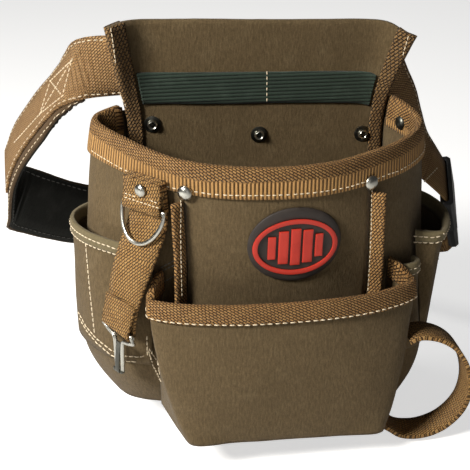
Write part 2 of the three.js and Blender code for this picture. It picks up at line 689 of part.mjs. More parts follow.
function buildStrap() {
  const turn = strapThickness + clipWire + 3 * seatGap;
  const end = strapFrame(1);
  const hem = [30, 60, 90, 120, 150].map((degrees) => {
    const angle = THREE.MathUtils.degToRad(degrees);
    return shifted(end, (turn / 2) * (1 - Math.cos(angle)), (-turn / 2) * Math.sin(angle));
  });
  const shares = [0, 0.08, 0.17, 0.24, 0.3, 0.36, 0.41, 0.46, 0.5, 0.58, 0.66, 0.76, 0.85, 0.93, 1];
  const folded = [[1, turn], [0.94, turn * 0.8], [0.88, strapThickness + 1.1], [0.8, strapThickness + 0.8]];
  add('hanging_strap', strapBand([
    ...shares.map((t) => strapFrame(t)), ...hem, ...folded.map(([t, gap]) => strapFrame(t, gap)),
  ], strapWidth, strapThickness), 'webbing');

  const layer = strapThickness + seatGap;
  const barGap = (ringWire + strapThickness) / 2 + seatGap;
  const bar = strapFrame((strapTop - ringBarHeight) / strapLength, layer + barGap);
  const fold = [0, 30, 60, 90, 120, 150, 180].map((degrees) => {
    const angle = THREE.MathUtils.degToRad(degrees);
    return shifted(bar, -barGap * Math.cos(angle), -barGap * Math.sin(angle));
  });
  const keeperBack = [0.01, 0.08, 0.13].map((t) => strapFrame(t, layer));
  const keeperFront = [0.12, 0.08, 0.015].map((t, i) => strapFrame(t, layer + strapThickness + [2.4, 1.0, 0.8][i]));
  add('ring_keeper', strapBand([...keeperBack, ...fold, ...keeperFront], strapWidth, strapThickness), 'webbing');
  const rivet = strapFrame(0.075, layer + strapThickness * 1.5 + 2.6);
  addRivet('keeper_rivet', rivetRadius * 0.9, rivet.point, rivet.out, 'nickel');

  const half = strapWidth / 2 + ringWire / 2 + 0.8;
  const place = (side, down) => bar.point.clone().addScaledVector(bar.across, side * half)
    .addScaledVector(bar.out, ringTilt * down ** 1.2).add(vec(0, 0, -down * ringHeight));
  const bow = Array.from({ length: 13 }, (_, k) => place(Math.cos((Math.PI * k) / 12), Math.sin((Math.PI * k) / 12)));
  const straight = [-0.5, 0, 0.5].map((side) => place(side, 0));
  add('d_ring', wire([...bow, ...straight], ringWire, 8, true), 'nickel');
}

// The clip's wire as shares of the strap's half width and of the clip's length, from its top bar down
const clipOutline = [
  [-1.11, 0], [1.11, 0], [1.17, 0.12], [0.75, 0.215], [0.36, 0.25], [0.27, 0.34], [0.26, 0.93],
  [0.2, 1], [-0.2, 1], [-0.26, 0.93], [-0.27, 0.34], [-0.36, 0.25], [-0.75, 0.215], [-1.17, 0.12],
];
function buildClip() {
  const eye = strapFrame(1, (strapThickness + clipWire + 3 * seatGap) / 2);
  const place = (side, down, gap) => shifted(eye, gap, -down * clipLength).point
    .addScaledVector(eye.across, (side * strapWidth) / 2);
  add('clip_frame', wire(clipOutline.map(([side, down]) => place(side, down, 0)), clipWire, 8, true), 'nickel');
  const tongue = [0.33, 0.55, 0.8, 0.98, 1.04].map((down, i) => (
    { point: place(0.03, down, [0.4, 1.4, 2.4, 2.9, 2.6][i]), across: eye.across }));
  add('clip_tongue', strapBand(tongue, strapWidth * 0.15, 1.2), 'gunmetal');
}

// Hammer loop: a ring of doubled webbing from the side seam round to the bottom, as shares of its size
const loopRoute = [
  [0, 0], [0.12, 0.035], [0.36, 0.02], [0.67, -0.09], [0.9, -0.29], [0.98, -0.495], [0.95, -0.7], [0.79, -0.855],
  [0.55, -0.96], [0.26, -1], [-0.02, -0.97], [-0.19, -0.89], [-0.33, -0.84], [-0.48, -0.825],
];
function buildHammerLoop() {
  const route = new THREE.CatmullRomCurve3(loopRoute.map(([x, z]) => (
    vec(loopStart.x + x * loopWide, loopDepth, loopStart.z + z * loopTall))), false, 'centripetal');
  const across = vec(0, 1, 0);
  const frames = Array.from({ length: 31 }, (_, k) => {
    const point = route.getPoint(k / 30);
    const out = route.getTangent(k / 30).cross(across).normalize();
    return { point, across, out };
  });
  add('hammer_loop', band(frames, loopWebbingWidth, loopWebbingThickness), 'webbing');
}

// Belt: the middle line as shares of its reach, bow and drop, and its lean from upright
const beltRoute = [
  { x: 0.00, y: 0.0300, z: -0.024, lean: 0 },
  { x: -0.32, y: 0.0300, z: -0.024, lean: 0 },
  { x: -0.43, y: 0.0340, z: -0.024, lean: 0 },
  { x: -0.55, y: 0.0470, z: -0.024, lean: 2 },
  { x: -0.648, y: 0.061, z: -0.039, lean: 22 },
  { x: -0.711, y: 0.108, z: -0.081, lean: 48 },
  { x: -0.752, y: 0.155, z: -0.126, lean: 64 },
  { x: -0.796, y: 0.216, z: -0.186, lean: 68 },
  { x: -0.855, y: 0.297, z: -0.273, lean: 66 },
  { x: -0.937, y: 0.392, z: -0.407, lean: 66 },
  { x: -0.989, y: 0.473, z: -0.531, lean: 62 },
  { x: -1.015, y: 0.568, z: -0.650, lean: 42 },
  { x: -0.999, y: 0.662, z: -0.740, lean: 12 },
  { x: -0.921, y: 0.757, z: -0.810, lean: 0 },
  { x: -0.822, y: 0.851, z: -0.883, lean: 0 },
  { x: -0.690, y: 0.935, z: -0.945, lean: 0 },
  { x: -0.36, y: 0.995, z: -0.975, lean: 0 },
  { x: 0.00, y: 1.000, z: -0.985, lean: 0 },
  { x: 0.36, y: 0.946, z: -1.000, lean: 0 },
  { x: 0.64, y: 0.757, z: -1.010, lean: 0 },
  { x: 0.85, y: 0.530, z: -1.000, lean: 5 },
  { x: 0.91, y: 0.345, z: -0.900, lean: 24 },
  { x: 0.87, y: 0.235, z: -0.740, lean: 36 },
  { x: 0.79, y: 0.200, z: -0.600, lean: 38 },
  { x: 0.71, y: 0.185, z: -0.475, lean: 34 },
  { x: 0.645, y: 0.170, z: -0.360, lean: 26 },
  { x: 0.58, y: 0.145, z: -0.245, lean: 16 },
  { x: 0.51, y: 0.100, z: -0.140, lean: 6 },
  { x: 0.43, y: 0.050, z: -0.055, lean: 0 },
  { x: 0.34, y: 0.0325, z: -0.024, lean: 0 },
];
const beltCurve = new THREE.CatmullRomCurve3(
  beltRoute.map(({ x, y, z }) => vec(x * beltReach, y * beltBow, z * beltDrop)), true, 'centripetal');

// The belt's frame at a place counted in rows of the table; out points away from the loop's inside
function beltFrame(row, offset = 0, rise = 0) {
  const count = beltRoute.length;
  const t = (((row % count) + count) % count) / count;
  const i = Math.floor(t * count) % count;
  const lean = THREE.MathUtils.degToRad(lerp(beltRoute[i].lean, beltRoute[(i + 1) % count].lean, t * count - i));
  const along = beltCurve.getTangent(t);
  const up = vec(0, Math.sin(lean), Math.cos(lean));
  const across = up.addScaledVector(along, -up.dot(along)).normalize();
  const out = along.clone().cross(across).normalize().negate();
  const point = beltCurve.getPoint(t).addScaledVector(out, offset).addScaledVector(across, rise);
  return { point, across, out, along };
}
const beltRows = (from, to, count) => Array.from({ length: count + 1 }, (_, k) => lerp(from, to, k / count));

// A closed body cut by others
function cutFrom(body, tools) {
  const manifold = (geometry) => {
    const position = geometry.getAttribute('position');
    return new wasm.Manifold(new wasm.Mesh({
      numProp: 3, vertProperties: new Float32Array(position.array), triVerts: new Uint32Array(geometry.getIndex().array),
    }));
  };
  const { vertProperties, triVerts } = tools.reduce((left, tool) => left.subtract(manifold(tool)), manifold(body)).getMesh();
  const geometry = new THREE.BufferGeometry();
  geometry.setAttribute('position', new THREE.Float32BufferAttribute(vertProperties, 3));
  geometry.setIndex([...triVerts]);
  geometry.computeVertexNormals();
  return geometry;
}

// The buckle's own straight frame: d runs along the belt towards the pouch
const buckle = beltFrame(buckleRow);
const webbingOut = (beltPadThickness + webbingThickness) / 2 + seatGap;
const alongBuckle = (d, offset) => (
  { ...buckle, point: buckle.point.clone().addScaledVector(buckle.along, d).addScaledVector(buckle.out, offset) });

function buildBelt() {
  const slotEnd = socketLength - slotDepth + seatGap;
  const webbing = [alongBuckle(slotEnd, 0), alongBuckle(socketLength + 2, 0),
    ...beltRows(23.75, 40.5, 67).map((row) => {
      const leaves = smoothstep(row, 23.5, 26);
      return beltFrame(row, webbingOut * leaves, beltWebbingRise * leaves);
    })];
  add('belt_webbing', band(webbing, beltWebbingWidth, webbingThickness), 'webbing');
  const pad = beltRows(4.5, 20.25, 63);
  add('belt_cover', band(pad.map((row) => beltFrame(row)), beltPadWidth, beltPadThickness), 'canvas');
  const liningGap = -(beltPadThickness + beltLiningThickness) / 2 - seatGap;
  add('belt_lining', band(pad.map((row) => beltFrame(row, liningGap)), beltPadWidth - 3, beltLiningThickness), 'lining');
  const tail = [...beltRows(19.5, 20.5, 4).map((row) => beltFrame(row, webbingOut + seatGap)),
    alongBuckle(-prongLength - 2, 0), alongBuckle(-prongLength + slotDepth - seatGap, 0)];
  add('belt_tail', band(tail, beltWebbingWidth, webbingThickness), 'webbing');
}

function buildBuckle() {
  const block = (from, to, width, thickness) => {
    const w = width / 2;
    const t = thickness / 2;
    const round = Math.min(t * 0.6, 3);
    const outline = [[-w, -t + round], [-w + round, -t], [w - round, -t], [w, -t + round],
      [w, t - round], [w - round, t], [-w + round, t], [-w, t - round]];
    const rings = [from, to].map((d) => outline.map(([a, b]) => (
      alongBuckle(d, b).point.addScaledVector(buckle.across, a))));
    return skin(rings, outline);
  };
  const slotWidth = beltWebbingWidth + 4 * seatGap;
  const slotThickness = webbingThickness + 4 * seatGap;
  add('buckle_socket', cutFrom(block(clearance / 2, socketLength, buckleWidth, buckleThickness), [
    block(socketLength - slotDepth, socketLength + 1, slotWidth, slotThickness),
    block(socketLength * 0.24, socketLength * 0.55, slotWidth * 0.6, buckleThickness + 2),
  ]), 'plastic');
  add('buckle_prongs', cutFrom(block(-prongLength, -clearance / 2, buckleWidth * 0.94, buckleThickness * 0.8), [
    block(-prongLength - 1, -prongLength + slotDepth, slotWidth, slotThickness),
  ]), 'plastic');
}

buildPouch();
buildBottom();
buildRim();
buildWings();
buildElastic();
buildRivets();
buildFins();
buildBadge();
buildFrontPocket();
buildSidePockets();
buildStrap();
buildClip();
buildHammerLoop();
buildBelt();
buildBuckle();

export default part;
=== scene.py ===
# Carpenter's nail apron: canvas, webbing, stitching and metal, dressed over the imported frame
import math

import bpy
import numpy as np
from mathutils import Matrix, Vector, noise
from mathutils.bvhtree import BVHTree


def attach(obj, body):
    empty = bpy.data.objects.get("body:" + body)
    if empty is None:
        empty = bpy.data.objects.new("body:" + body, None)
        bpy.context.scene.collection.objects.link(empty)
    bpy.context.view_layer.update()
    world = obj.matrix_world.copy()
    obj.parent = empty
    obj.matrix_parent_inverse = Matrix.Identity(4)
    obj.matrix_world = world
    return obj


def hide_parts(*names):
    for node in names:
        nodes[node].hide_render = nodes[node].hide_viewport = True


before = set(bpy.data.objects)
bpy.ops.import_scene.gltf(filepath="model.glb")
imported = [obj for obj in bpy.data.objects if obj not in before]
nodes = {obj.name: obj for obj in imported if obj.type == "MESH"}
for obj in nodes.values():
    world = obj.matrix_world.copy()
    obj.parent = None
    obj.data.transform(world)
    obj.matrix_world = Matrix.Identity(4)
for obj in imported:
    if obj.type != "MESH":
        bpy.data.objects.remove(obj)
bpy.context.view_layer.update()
print("frame loaded:", len(nodes), "nodes")

photoView = {
    "azimuth": -8.0,       # degrees round the object
    "elevation": 26.0,
    "distance": 0.8,
    "focal": 960.0,        # in pixels of a 470 pixel frame
    "frame": 470.0,
    "target": Vector((-0.02863, -0.06, -0.12952)),
}


def cameraAxes():
    turn, rise = math.radians(photoView["azimuth"]), math.radians(photoView["elevation"])
    back = Vector((math.sin(turn) * math.cos(rise), -math.cos(turn) * math.cos(rise), math.sin(rise)))
    right = Vector((math.cos(turn), math.sin(turn), 0))
    return right, back.cross(right), back


def makeCamera():
    right, up, back = cameraAxes()
    bpy.ops.object.camera_add(location=photoView["target"] + back * photoView["distance"])
    camera = bpy.context.object
    camera.name = "photoCamera"
    camera.rotation_mode = "QUATERNION"
    camera.rotation_quaternion = Matrix((right, up, back)).transposed().to_quaternion()
    camera.data.sensor_width = 36
    camera.data.lens = 36 * photoView["focal"] / photoView["frame"]
    camera.data.clip_start, camera.data.clip_end = 0.05, 10
    bpy.context.scene.camera = camera


def photoRay(px, py):
    right, up, back = cameraAxes()
    half = photoView["frame"] / 2
    way = right * (px - half) / photoView["focal"] + up * (half - py) / photoView["focal"] - back
    return photoView["target"] + back * photoView["distance"], way.normalized()


makeCamera()

# Lines that the bands and seams follow, as the frame's own routes run: x, y and z of each point, in millimetres
routes = {
    "rimLine": [
        -128, -10, -34, -136, -17, -35, -140, -25, -35, -136, -39, -37, -127, -55, -38, -116, -70, -40,
        -105, -85, -41, -92, -99, -43, -79, -110, -44, -67, -118, -44, -55, -122, -45, -42, -125, -45, -30, -128, -45,
        -18, -129, -45, -6, -130, -45, 5, -130, -45, 16, -129, -45, 27, -128, -45, 38, -125, -45, 49, -122, -45,
        60, -117, -44, 71, -112, -44, 82, -106, -43, 92, -100, -43, 102, -92, -42, 112, -82, -41, 120, -70, -40,
        125, -57, -38, 126, -42, -37, 121, -24, -35, 116, -7, -34,
    ],
    "bodyLine": [
        -119, -2, -153, -136, -15, -153, -151, -28, -153, -154, -45, -154, -145, -66, -155, -129, -85, -156,
        -111, -98, -157, -90, -107, -158, -71, -113, -159, -57, -117, -159, -43, -119, -160, -28, -121, -160,
        -14, -122, -161, 0, -122, -161, 14, -122, -161, 28, -121, -161, 41, -119, -161, 55, -116, -161,
        69, -113, -161, 85, -108, -161, 103, -102, -161, 117, -92, -161, 128, -76, -160, 135, -59, -159,
        135, -40, -159, 126, -21, -157, 117, -2, -156,
    ],
    "pocketLine": [
        -94, -106, -135, -98, -112, -136, -102, -117, -139, -104, -122, -142, -105, -124, -146, -105, -126, -149,
        -105, -128, -150, -95, -134, -150, -78, -140, -150, -59, -145, -150, -40, -148, -150, -20, -150, -150,
        0, -150, -150, 21, -149, -150, 42, -148, -150, 62, -144, -150, 81, -139, -150, 99, -131, -150,
        108, -124, -150, 107, -122, -149, 105, -120, -146, 103, -118, -142, 98, -115, -139, 93, -112, -136,
        88, -109, -135,
    ],
    "strapLine": [
        -102, -97, -57, -101, -98, -69, -101, -99, -82, -103, -102, -94, -108, -107, -106, -113, -110, -118,
        -117, -109, -131, -121, -109, -143, -124, -109, -155, -126, -109, -168, -127, -110, -180,
    ],
    "loopLine": [
        106, -122, -201, 109, -122, -199, 115, -122, -197, 123, -122, -198, 133, -122, -202, 144, -122, -209,
        153, -122, -220, 159, -122, -232, 162, -122, -244, 163, -122, -255, 161, -122, -267, 157, -122, -277,
        150, -122, -285, 142, -122, -292, 133, -122, -296, 123, -122, -298, 113, -122, -297, 104, -122, -295,
        98, -122, -290, 93, -122, -286, 88, -122, -283, 83, -122, -282, 78, -122, -281,
    ],
    "sidePocketLeft": [
        -125, -3, -113, -136, -6, -114, -146, -11, -114, -155, -18, -114, -163, -29, -114, -164, -44, -113,
        -159, -58, -113, -152, -70, -113, -142, -80, -114, -132, -87, -115, -122, -94, -117, -111, -100, -118,
        -100, -105, -119,
    ],
    "sidePocketRightRear": [
        115, -93, -121, 137, -102, -119, 142, -95, -119, 146, -86, -119, 150, -77, -119, 153, -67, -119,
        154, -56, -118, 153, -44, -118, 149, -34, -117, 144, -26, -117, 138, -18, -116, 130, -13, -116, 122, -7, -116,
    ],
    "sidePocketRightFront": [
        97, -108, -143, 100, -110, -143, 103, -111, -142, 105, -111, -142, 108, -111, -142, 110, -111, -142,
        112, -110, -142, 114, -109, -142, 115, -107, -141, 117, -106, -141, 118, -104, -141, 117, -100, -142,
        116, -96, -142,
    ],
    "webbingLine": [
        161, 28, -104, 154, 27, -91, 148, 27, -79, 142, 26, -66, 136, 24, -54, 129, 21, -42, 122, 17, -31,
        113, 13, -21, 105, 8, -12, 94, 4, -5, 84, 3, -1, 65, 2, 1, 27, 1, 1, -11, 2, 0, -48, 1, 0, -74, 2, 0,
        -86, 2, 0, -98, 2, 0, -111, 3, 0, -124, 5, 0, -136, 6, -1, -146, 10, -3, -154, 15, -8, -160, 19, -13,
        -164, 23, -17, -168, 27, -22, -173, 31, -28, -178, 36, -35, -184, 42, -43, -191, 48, -53, -200, 55, -67,
        -209, 62, -81, -215, 68, -93, -220, 74, -106, -224, 81, -118,
    ],
    "webbingTop": [
        174, 43, -93, 167, 42, -81, 162, 41, -69, 157, 39, -56, 152, 35, -42, 144, 31, -29, 137, 25, -17, 129, 18, -6,
        119, 11, 5, 104, 2, 15, 89, -1, 20, 66, -2, 23, 26, -3, 23, -11, -2, 22, -48, -3, 22, -75, -2, 22,
        -86, -2, 22, -98, -2, 22, -111, 0, 22, -126, 2, 22, -139, 8, 21, -152, 17, 17, -159, 27, 10, -163, 34, 3,
        -166, 40, -3, -169, 44, -8, -174, 49, -14, -179, 54, -21, -185, 60, -30, -193, 67, -41, -203, 74, -55,
        -212, 81, -70, -219, 87, -83, -224, 93, -95, -229, 99, -107,
    ],
    "webbingLow": [
        153, 8, -110, 146, 7, -98, 139, 7, -86, 133, 7, -74, 126, 6, -63, 119, 5, -54, 111, 3, -44, 102, 0, -36,
        93, -2, -29, 85, -2, -25, 79, -2, -23, 64, -3, -21, 27, -3, -21, -11, -2, -22, -48, -3, -22, -75, -2, -22,
        -86, -2, -22, -98, -2, -22, -112, -1, -22, -123, -1, -22, -133, -3, -21, -144, -4, -20, -154, -3, -22,
        -162, 0, -24, -168, 4, -28, -173, 8, -32, -178, 12, -38, -183, 17, -44, -189, 23, -53, -195, 28, -62,
        -204, 35, -74, -213, 42, -89, -219, 47, -101, -224, 54, -115, -228, 61, -129,
    ],
    "padLine": [
        -151, 13, -13, -158, 17, -18, -162, 20, -22, -167, 24, -28, -172, 29, -34, -177, 34, -41, -184, 40, -50,
        -192, 47, -62, -202, 55, -76, -210, 61, -90, -216, 67, -103, -220, 74, -116, -223, 81, -129, -223, 89, -140,
        -221, 96, -149, -214, 103, -157, -205, 111, -165, -194, 118, -172, -183, 125, -180, -169, 132, -187,
        -153, 138, -193, -119, 144, -198, -79, 147, -200, -38, 149, -201, 3, 148, -202, 45, 146, -204, 84, 139, -205,
        117, 125, -207, 147, 109, -207, 173, 91, -208, 190, 74, -203,
    ],
    "padTop": [
        -157, 30, 10, -161, 37, 2, -164, 42, -4, -168, 47, -10, -172, 52, -17, -178, 57, -24, -185, 64, -34,
        -195, 72, -47, -205, 79, -62, -213, 86, -77, -220, 92, -90, -225, 98, -102, -228, 105, -114, -226, 112, -123,
        -219, 118, -131, -208, 118, -134, -196, 123, -140, -184, 129, -148, -173, 135, -155, -160, 141, -161,
        -147, 144, -166, -118, 148, -169, -78, 151, -171, -38, 153, -173, 4, 152, -174, 47, 149, -175, 87, 142, -177,
        120, 128, -178, 149, 112, -179, 175, 96, -180, 189, 87, -177,
    ],
    "padLow": [
        -151, -9, -31, -160, -7, -33, -167, -4, -37, -173, 0, -41, -178, 4, -47, -184, 9, -54, -190, 15, -63,
        -196, 21, -73, -206, 28, -87, -213, 35, -101, -219, 41, -115, -223, 49, -129, -226, 57, -144, -228, 66, -157,
        -230, 77, -169, -227, 94, -182, -218, 105, -189, -209, 113, -197, -196, 122, -205, -181, 131, -213,
        -161, 140, -221, -121, 148, -226, -81, 151, -228, -39, 153, -230, 2, 152, -231, 44, 150, -232, 84, 143, -234,
        118, 129, -235, 148, 112, -236, 175, 93, -236, 198, 66, -229,
    ],
    "liningTop": [
        -150, 35, 4, -154, 40, -4, -156, 44, -10, -160, 48, -16, -164, 52, -23, -170, 58, -30, -177, 64, -40,
        -186, 72, -53, -196, 80, -68, -204, 86, -81, -210, 92, -94, -215, 98, -105, -218, 104, -116, -217, 110, -124,
        -210, 113, -131, -201, 110, -135, -191, 114, -142, -179, 121, -150, -169, 126, -156, -157, 131, -163,
        -145, 134, -168, -117, 138, -171, -77, 141, -173, -38, 143, -175, 4, 142, -176, 46, 140, -177, 84, 133, -179,
        115, 119, -180, 144, 103, -181, 169, 88, -181, 181, 81, -178,
    ],
    "liningLow": [
        -144, -2, -35, -153, -1, -37, -159, 0, -40, -164, 4, -45, -169, 8, -51, -175, 13, -58, -181, 19, -67,
        -188, 25, -77, -197, 32, -90, -204, 38, -103, -210, 44, -117, -214, 52, -131, -216, 59, -144, -218, 67, -155,
        -221, 75, -167, -219, 88, -179, -212, 98, -187, -202, 105, -195, -190, 114, -204, -176, 122, -212,
        -158, 131, -219, -120, 138, -224, -80, 141, -226, -39, 143, -228, 2, 142, -229, 44, 140, -230, 82, 133, -232,
        114, 120, -233, 143, 104, -234, 169, 85, -234, 190, 61, -227,
    ],
    "panelLine": [-130, 0, -150, 130, 0, -150],
    "beltTailLine": [186, 40, -172, 190, 55, -190, 195, 92, -228],
    "leftWingLine": [-112, -8, 40, -102, -14, -20, -101, -4, -90, -104, -2, -180, -106, -2, -275],
    "rightWingLine": [110, -8, 30, 101, -14, -20, 104, -4, -90, 106, -2, -180, 108, -2, -278],
    "leftFinLine": [-82, -118, -70, -80, -117, -180, -82, -104, -255],
    "rightFinLine": [76, -118, -70, 78, -117, -180, 82, -104, -258],
}


def route(name):
    row = routes[name]
    return [Vector(row[i:i + 3]) / 1000 for i in range(0, len(row), 3)]


def feed(tree, socket, value):      # a link from another socket, or a constant on this one
    if isinstance(value, bpy.types.NodeSocket):
        tree.links.new(value, socket)
    else:
        socket.default_value = value


def shaderNode(tree, kind, inputs, **settings):
    made = tree.nodes.new("ShaderNode" + kind)
    for key, value in settings.items():
        setattr(made, key, value)
    for key, value in inputs.items():
        feed(tree, made.inputs[key], value)
    return made


def newGroup(name, inputs, outputs):
    group = bpy.data.node_groups.new(name, "ShaderNodeTree")
    for label, kind, value in inputs:
        socket = group.interface.new_socket(label, in_out="INPUT", socket_type="NodeSocket" + kind)
        if value is not None:
            socket.default_value = value
    for label, kind in outputs:
        group.interface.new_socket(label, in_out="OUTPUT", socket_type="NodeSocket" + kind)
    return group, group.nodes.new("NodeGroupInput").outputs, group.nodes.new("NodeGroupOutput").inputs


def sums(group, operation, first, second, third=None, clamp=False):
    inputs = {0: first, 1: second}
    if third is not None:
        inputs[2] = third
    return shaderNode(group, "Math", inputs, operation=operation, use_clamp=clamp).outputs[0]


def blended(group, share, first, second, way="MIX"):
    made = shaderNode(group, "Mix", {}, data_type="RGBA", blend_type=way)
    for place, value in ((0, share), (6, first), (7, second)):
        feed(group, made.inputs[place], value)
    return made.outputs[2]


def makeMottle():      # broad patches, fine specks and a little dust on any finish
    group, into, out = newGroup("mottle", [
        ("Vector", "Vector", None), ("Color", "Color", (0.5, 0.5, 0.5, 1)), ("Dark", "Color", (0.2, 0.2, 0.2, 1)),
        ("Dust", "Color", (0.6, 0.5, 0.4, 1)), ("Patches", "Float", 0.3), ("Specks", "Float", 0.2),
        ("Dusty", "Float", 0.1), ("Patch Scale", "Float", 25.0), ("Speck Scale", "Float", 700.0),
    ], [("Color", "Color"), ("Height", "Float")])
    patch = shaderNode(group, "TexNoise", {"Vector": into["Vector"], "Scale": into["Patch Scale"],
                                           "Detail": 4.0, "Roughness": 0.6}).outputs["Fac"]
    speck = shaderNode(group, "TexNoise", {"Vector": into["Vector"], "Scale": into["Speck Scale"],
                                           "Detail": 2.0, "Roughness": 0.7}).outputs["Fac"]
    patchy = shaderNode(group, "MapRange", {"Value": patch, "From Min": 0.35, "From Max": 0.7}).outputs[0]
    specky = shaderNode(group, "MapRange", {"Value": speck, "From Min": 0.4, "From Max": 0.68}).outputs[0]
    shade = blended(group, sums(group, "MULTIPLY", patchy, into["Patches"]), into["Color"], into["Dark"])
    shade = blended(group, sums(group, "MULTIPLY", specky, into["Specks"]), shade, into["Dark"])
    dust = shaderNode(group, "TexNoise", {"Vector": into["Vector"], "Scale": 60.0, "Detail": 6.0}).outputs["Fac"]
    dusty = shaderNode(group, "MapRange", {"Value": dust, "From Min": 0.52, "From Max": 0.75}).outputs[0]
    shade = blended(group, sums(group, "MULTIPLY", dusty, into["Dusty"]), shade, into["Dust"])
    group.links.new(shade, out["Color"])
    group.links.new(specky, out["Height"])
    return group


def makePlainWeave():  # over-and-under threads, as heights
    group, into, out = newGroup("plainWeave", [
        ("Vector", "Vector", None), ("Threads", "Float", 1100.0), ("Slub", "Float", 0.3),
    ], [("Height", "Float"), ("Gap", "Float")])
    split = shaderNode(group, "SeparateXYZ", {0: into["Vector"]}).outputs
    wander = shaderNode(group, "TexNoise", {"Vector": into["Vector"], "Scale": 160.0, "Detail": 3.0}).outputs["Fac"]
    across = sums(group, "MULTIPLY", split[0], into["Threads"])
    along = sums(group, "MULTIPLY", split[1], into["Threads"])
    warp = sums(group, "SINE", sums(group, "MULTIPLY", across, math.pi), 0)
    weft = sums(group, "SINE", sums(group, "MULTIPLY", along, math.pi), 0)
    knot = sums(group, "ABSOLUTE", sums(group, "MULTIPLY", warp, weft), 0)
    height = sums(group, "MULTIPLY_ADD", wander, into["Slub"], knot)
    group.links.new(height, out["Height"])
    group.links.new(sums(group, "SUBTRACT", 1.0, knot, clamp=True), out["Gap"])
    return group


def makeTwill():       # slanting knots of thick thread, with dark gaps between them
    group, into, out = newGroup("twill", [
        ("Vector", "Vector", None), ("Turn", "Float", 0.6), ("Knot", "Float", 0.0034), ("Row", "Float", 0.0021),
        ("Gap", "Float", 0.00045), ("Light", "Color", (0.5, 0.3, 0.12, 1)), ("Shade", "Color", (0.3, 0.16, 0.06, 1)),
        ("Deep", "Color", (0.08, 0.04, 0.02, 1)),
    ], [("Color", "Color"), ("Height", "Float")])
    turned = shaderNode(group, "VectorRotate", {"Vector": into["Vector"], "Angle": into["Turn"]},
                        rotation_type="Z_AXIS").outputs[0]
    knots = shaderNode(group, "TexBrick", {
        "Vector": turned, "Color1": into["Light"], "Color2": into["Shade"], "Mortar": into["Deep"], "Scale": 1.0,
        "Mortar Size": into["Gap"], "Mortar Smooth": 1.0, "Bias": -0.2, "Brick Width": into["Knot"],
        "Row Height": into["Row"]}, offset=0.5, offset_frequency=2)
    fibre = shaderNode(group, "TexNoise", {"Vector": turned, "Scale": 1500.0, "Detail": 2.0}).outputs["Fac"]
    colour = blended(group, 0.35, knots.outputs["Color"], fibre, "MULTIPLY")
    height = sums(group, "SUBTRACT", 1.0, knots.outputs["Fac"])
    group.links.new(colour, out["Color"])
    group.links.new(sums(group, "MULTIPLY_ADD", fibre, 0.15, height), out["Height"])
    return group


def makeRibs():        # straight ribs across a band
    group, into, out = newGroup("ribs", [
        ("Position", "Float", 0.0), ("Pitch", "Float", 0.0026), ("Sharp", "Float", 0.6),
    ], [("Height", "Float")])
    phase = sums(group, "MULTIPLY", sums(group, "DIVIDE", into["Position"], into["Pitch"]), math.pi)
    wave = sums(group, "ABSOLUTE", sums(group, "SINE", phase, 0), 0)
    group.links.new(sums(group, "POWER", wave, into["Sharp"]), out["Height"])
    return group


def makeScuffs():      # rubbed places and fine scratches on metal, rubber and plastic
    group, into, out = newGroup("scuffs", [
        ("Vector", "Vector", None), ("Color", "Color", (0.5, 0.5, 0.5, 1)), ("Worn", "Color", (0.8, 0.8, 0.8, 1)),
        ("Amount", "Float", 0.3), ("Scale", "Float", 90.0), ("Smooth", "Float", 0.25), ("Rough", "Float", 0.5),
    ], [("Color", "Color"), ("Roughness", "Float"), ("Height", "Float")])
    patch = shaderNode(group, "TexNoise", {"Vector": into["Vector"], "Scale": into["Scale"], "Detail": 6.0,
                                           "Roughness": 0.65}).outputs["Fac"]
    grain = shaderNode(group, "TexNoise", {"Vector": into["Vector"], "Scale": 1800.0, "Detail": 2.0}).outputs["Fac"]
    mask = shaderNode(group, "MapRange", {"Value": patch, "From Min": 0.48, "From Max": 0.7}).outputs[0]
    share = sums(group, "MULTIPLY", mask, into["Amount"])
    group.links.new(blended(group, share, into["Color"], into["Worn"]), out["Color"])
    rough = shaderNode(group, "MapRange", {"Value": patch, "From Min": 0.3, "From Max": 0.7,
                                           "To Min": into["Smooth"], "To Max": into["Rough"]}).outputs[0]
    group.links.new(rough, out["Roughness"])
    group.links.new(sums(group, "MULTIPLY_ADD", grain, 0.4, patch), out["Height"])
    return group


groups = {"mottle": makeMottle(), "plainWeave": makePlainWeave(), "twill": makeTwill(), "ribs": makeRibs(),
          "scuffs": makeScuffs()}


def placed(tree, group, inputs):
    made = tree.nodes.new("ShaderNodeGroup")
    made.node_tree = groups[group]
    for key, value in inputs.items():
        feed(tree, made.inputs[key], value)
    return made.outputs


def rgb(red, green, blue):
    return (red, green, blue, 1.0)


def newMaterial(name, roughness, metallic=0.0, sheen=0.0, coat=0.0, specular=0.5):
    material = bpy.data.materials.new(name)
    material.use_nodes = True
    tree = material.node_tree
    shader = tree.nodes["Principled BSDF"]
    constants = {"Roughness": roughness, "Metallic": metallic, "Sheen Weight": sheen, "Sheen Tint": rgb(1, 1, 1),
                 "Sheen Roughness": 0.5, "Coat Weight": coat, "Specular IOR Level": specular}
    for key, value in constants.items():
        shader.inputs[key].default_value = value
    place = tree.nodes.new("ShaderNodeTexCoord")
    return material, tree, shader, place.outputs["Object"], place.outputs["UV"]


def surfaceOf(tree, shader, colour, height, strength, distance):
    bump = shaderNode(tree, "Bump", {"Height": height, "Strength": strength, "Distance": distance})
    tree.links.new(bump.outputs["Normal"], shader.inputs["Normal"])
    tree.links.new(colour, shader.inputs["Base Color"])


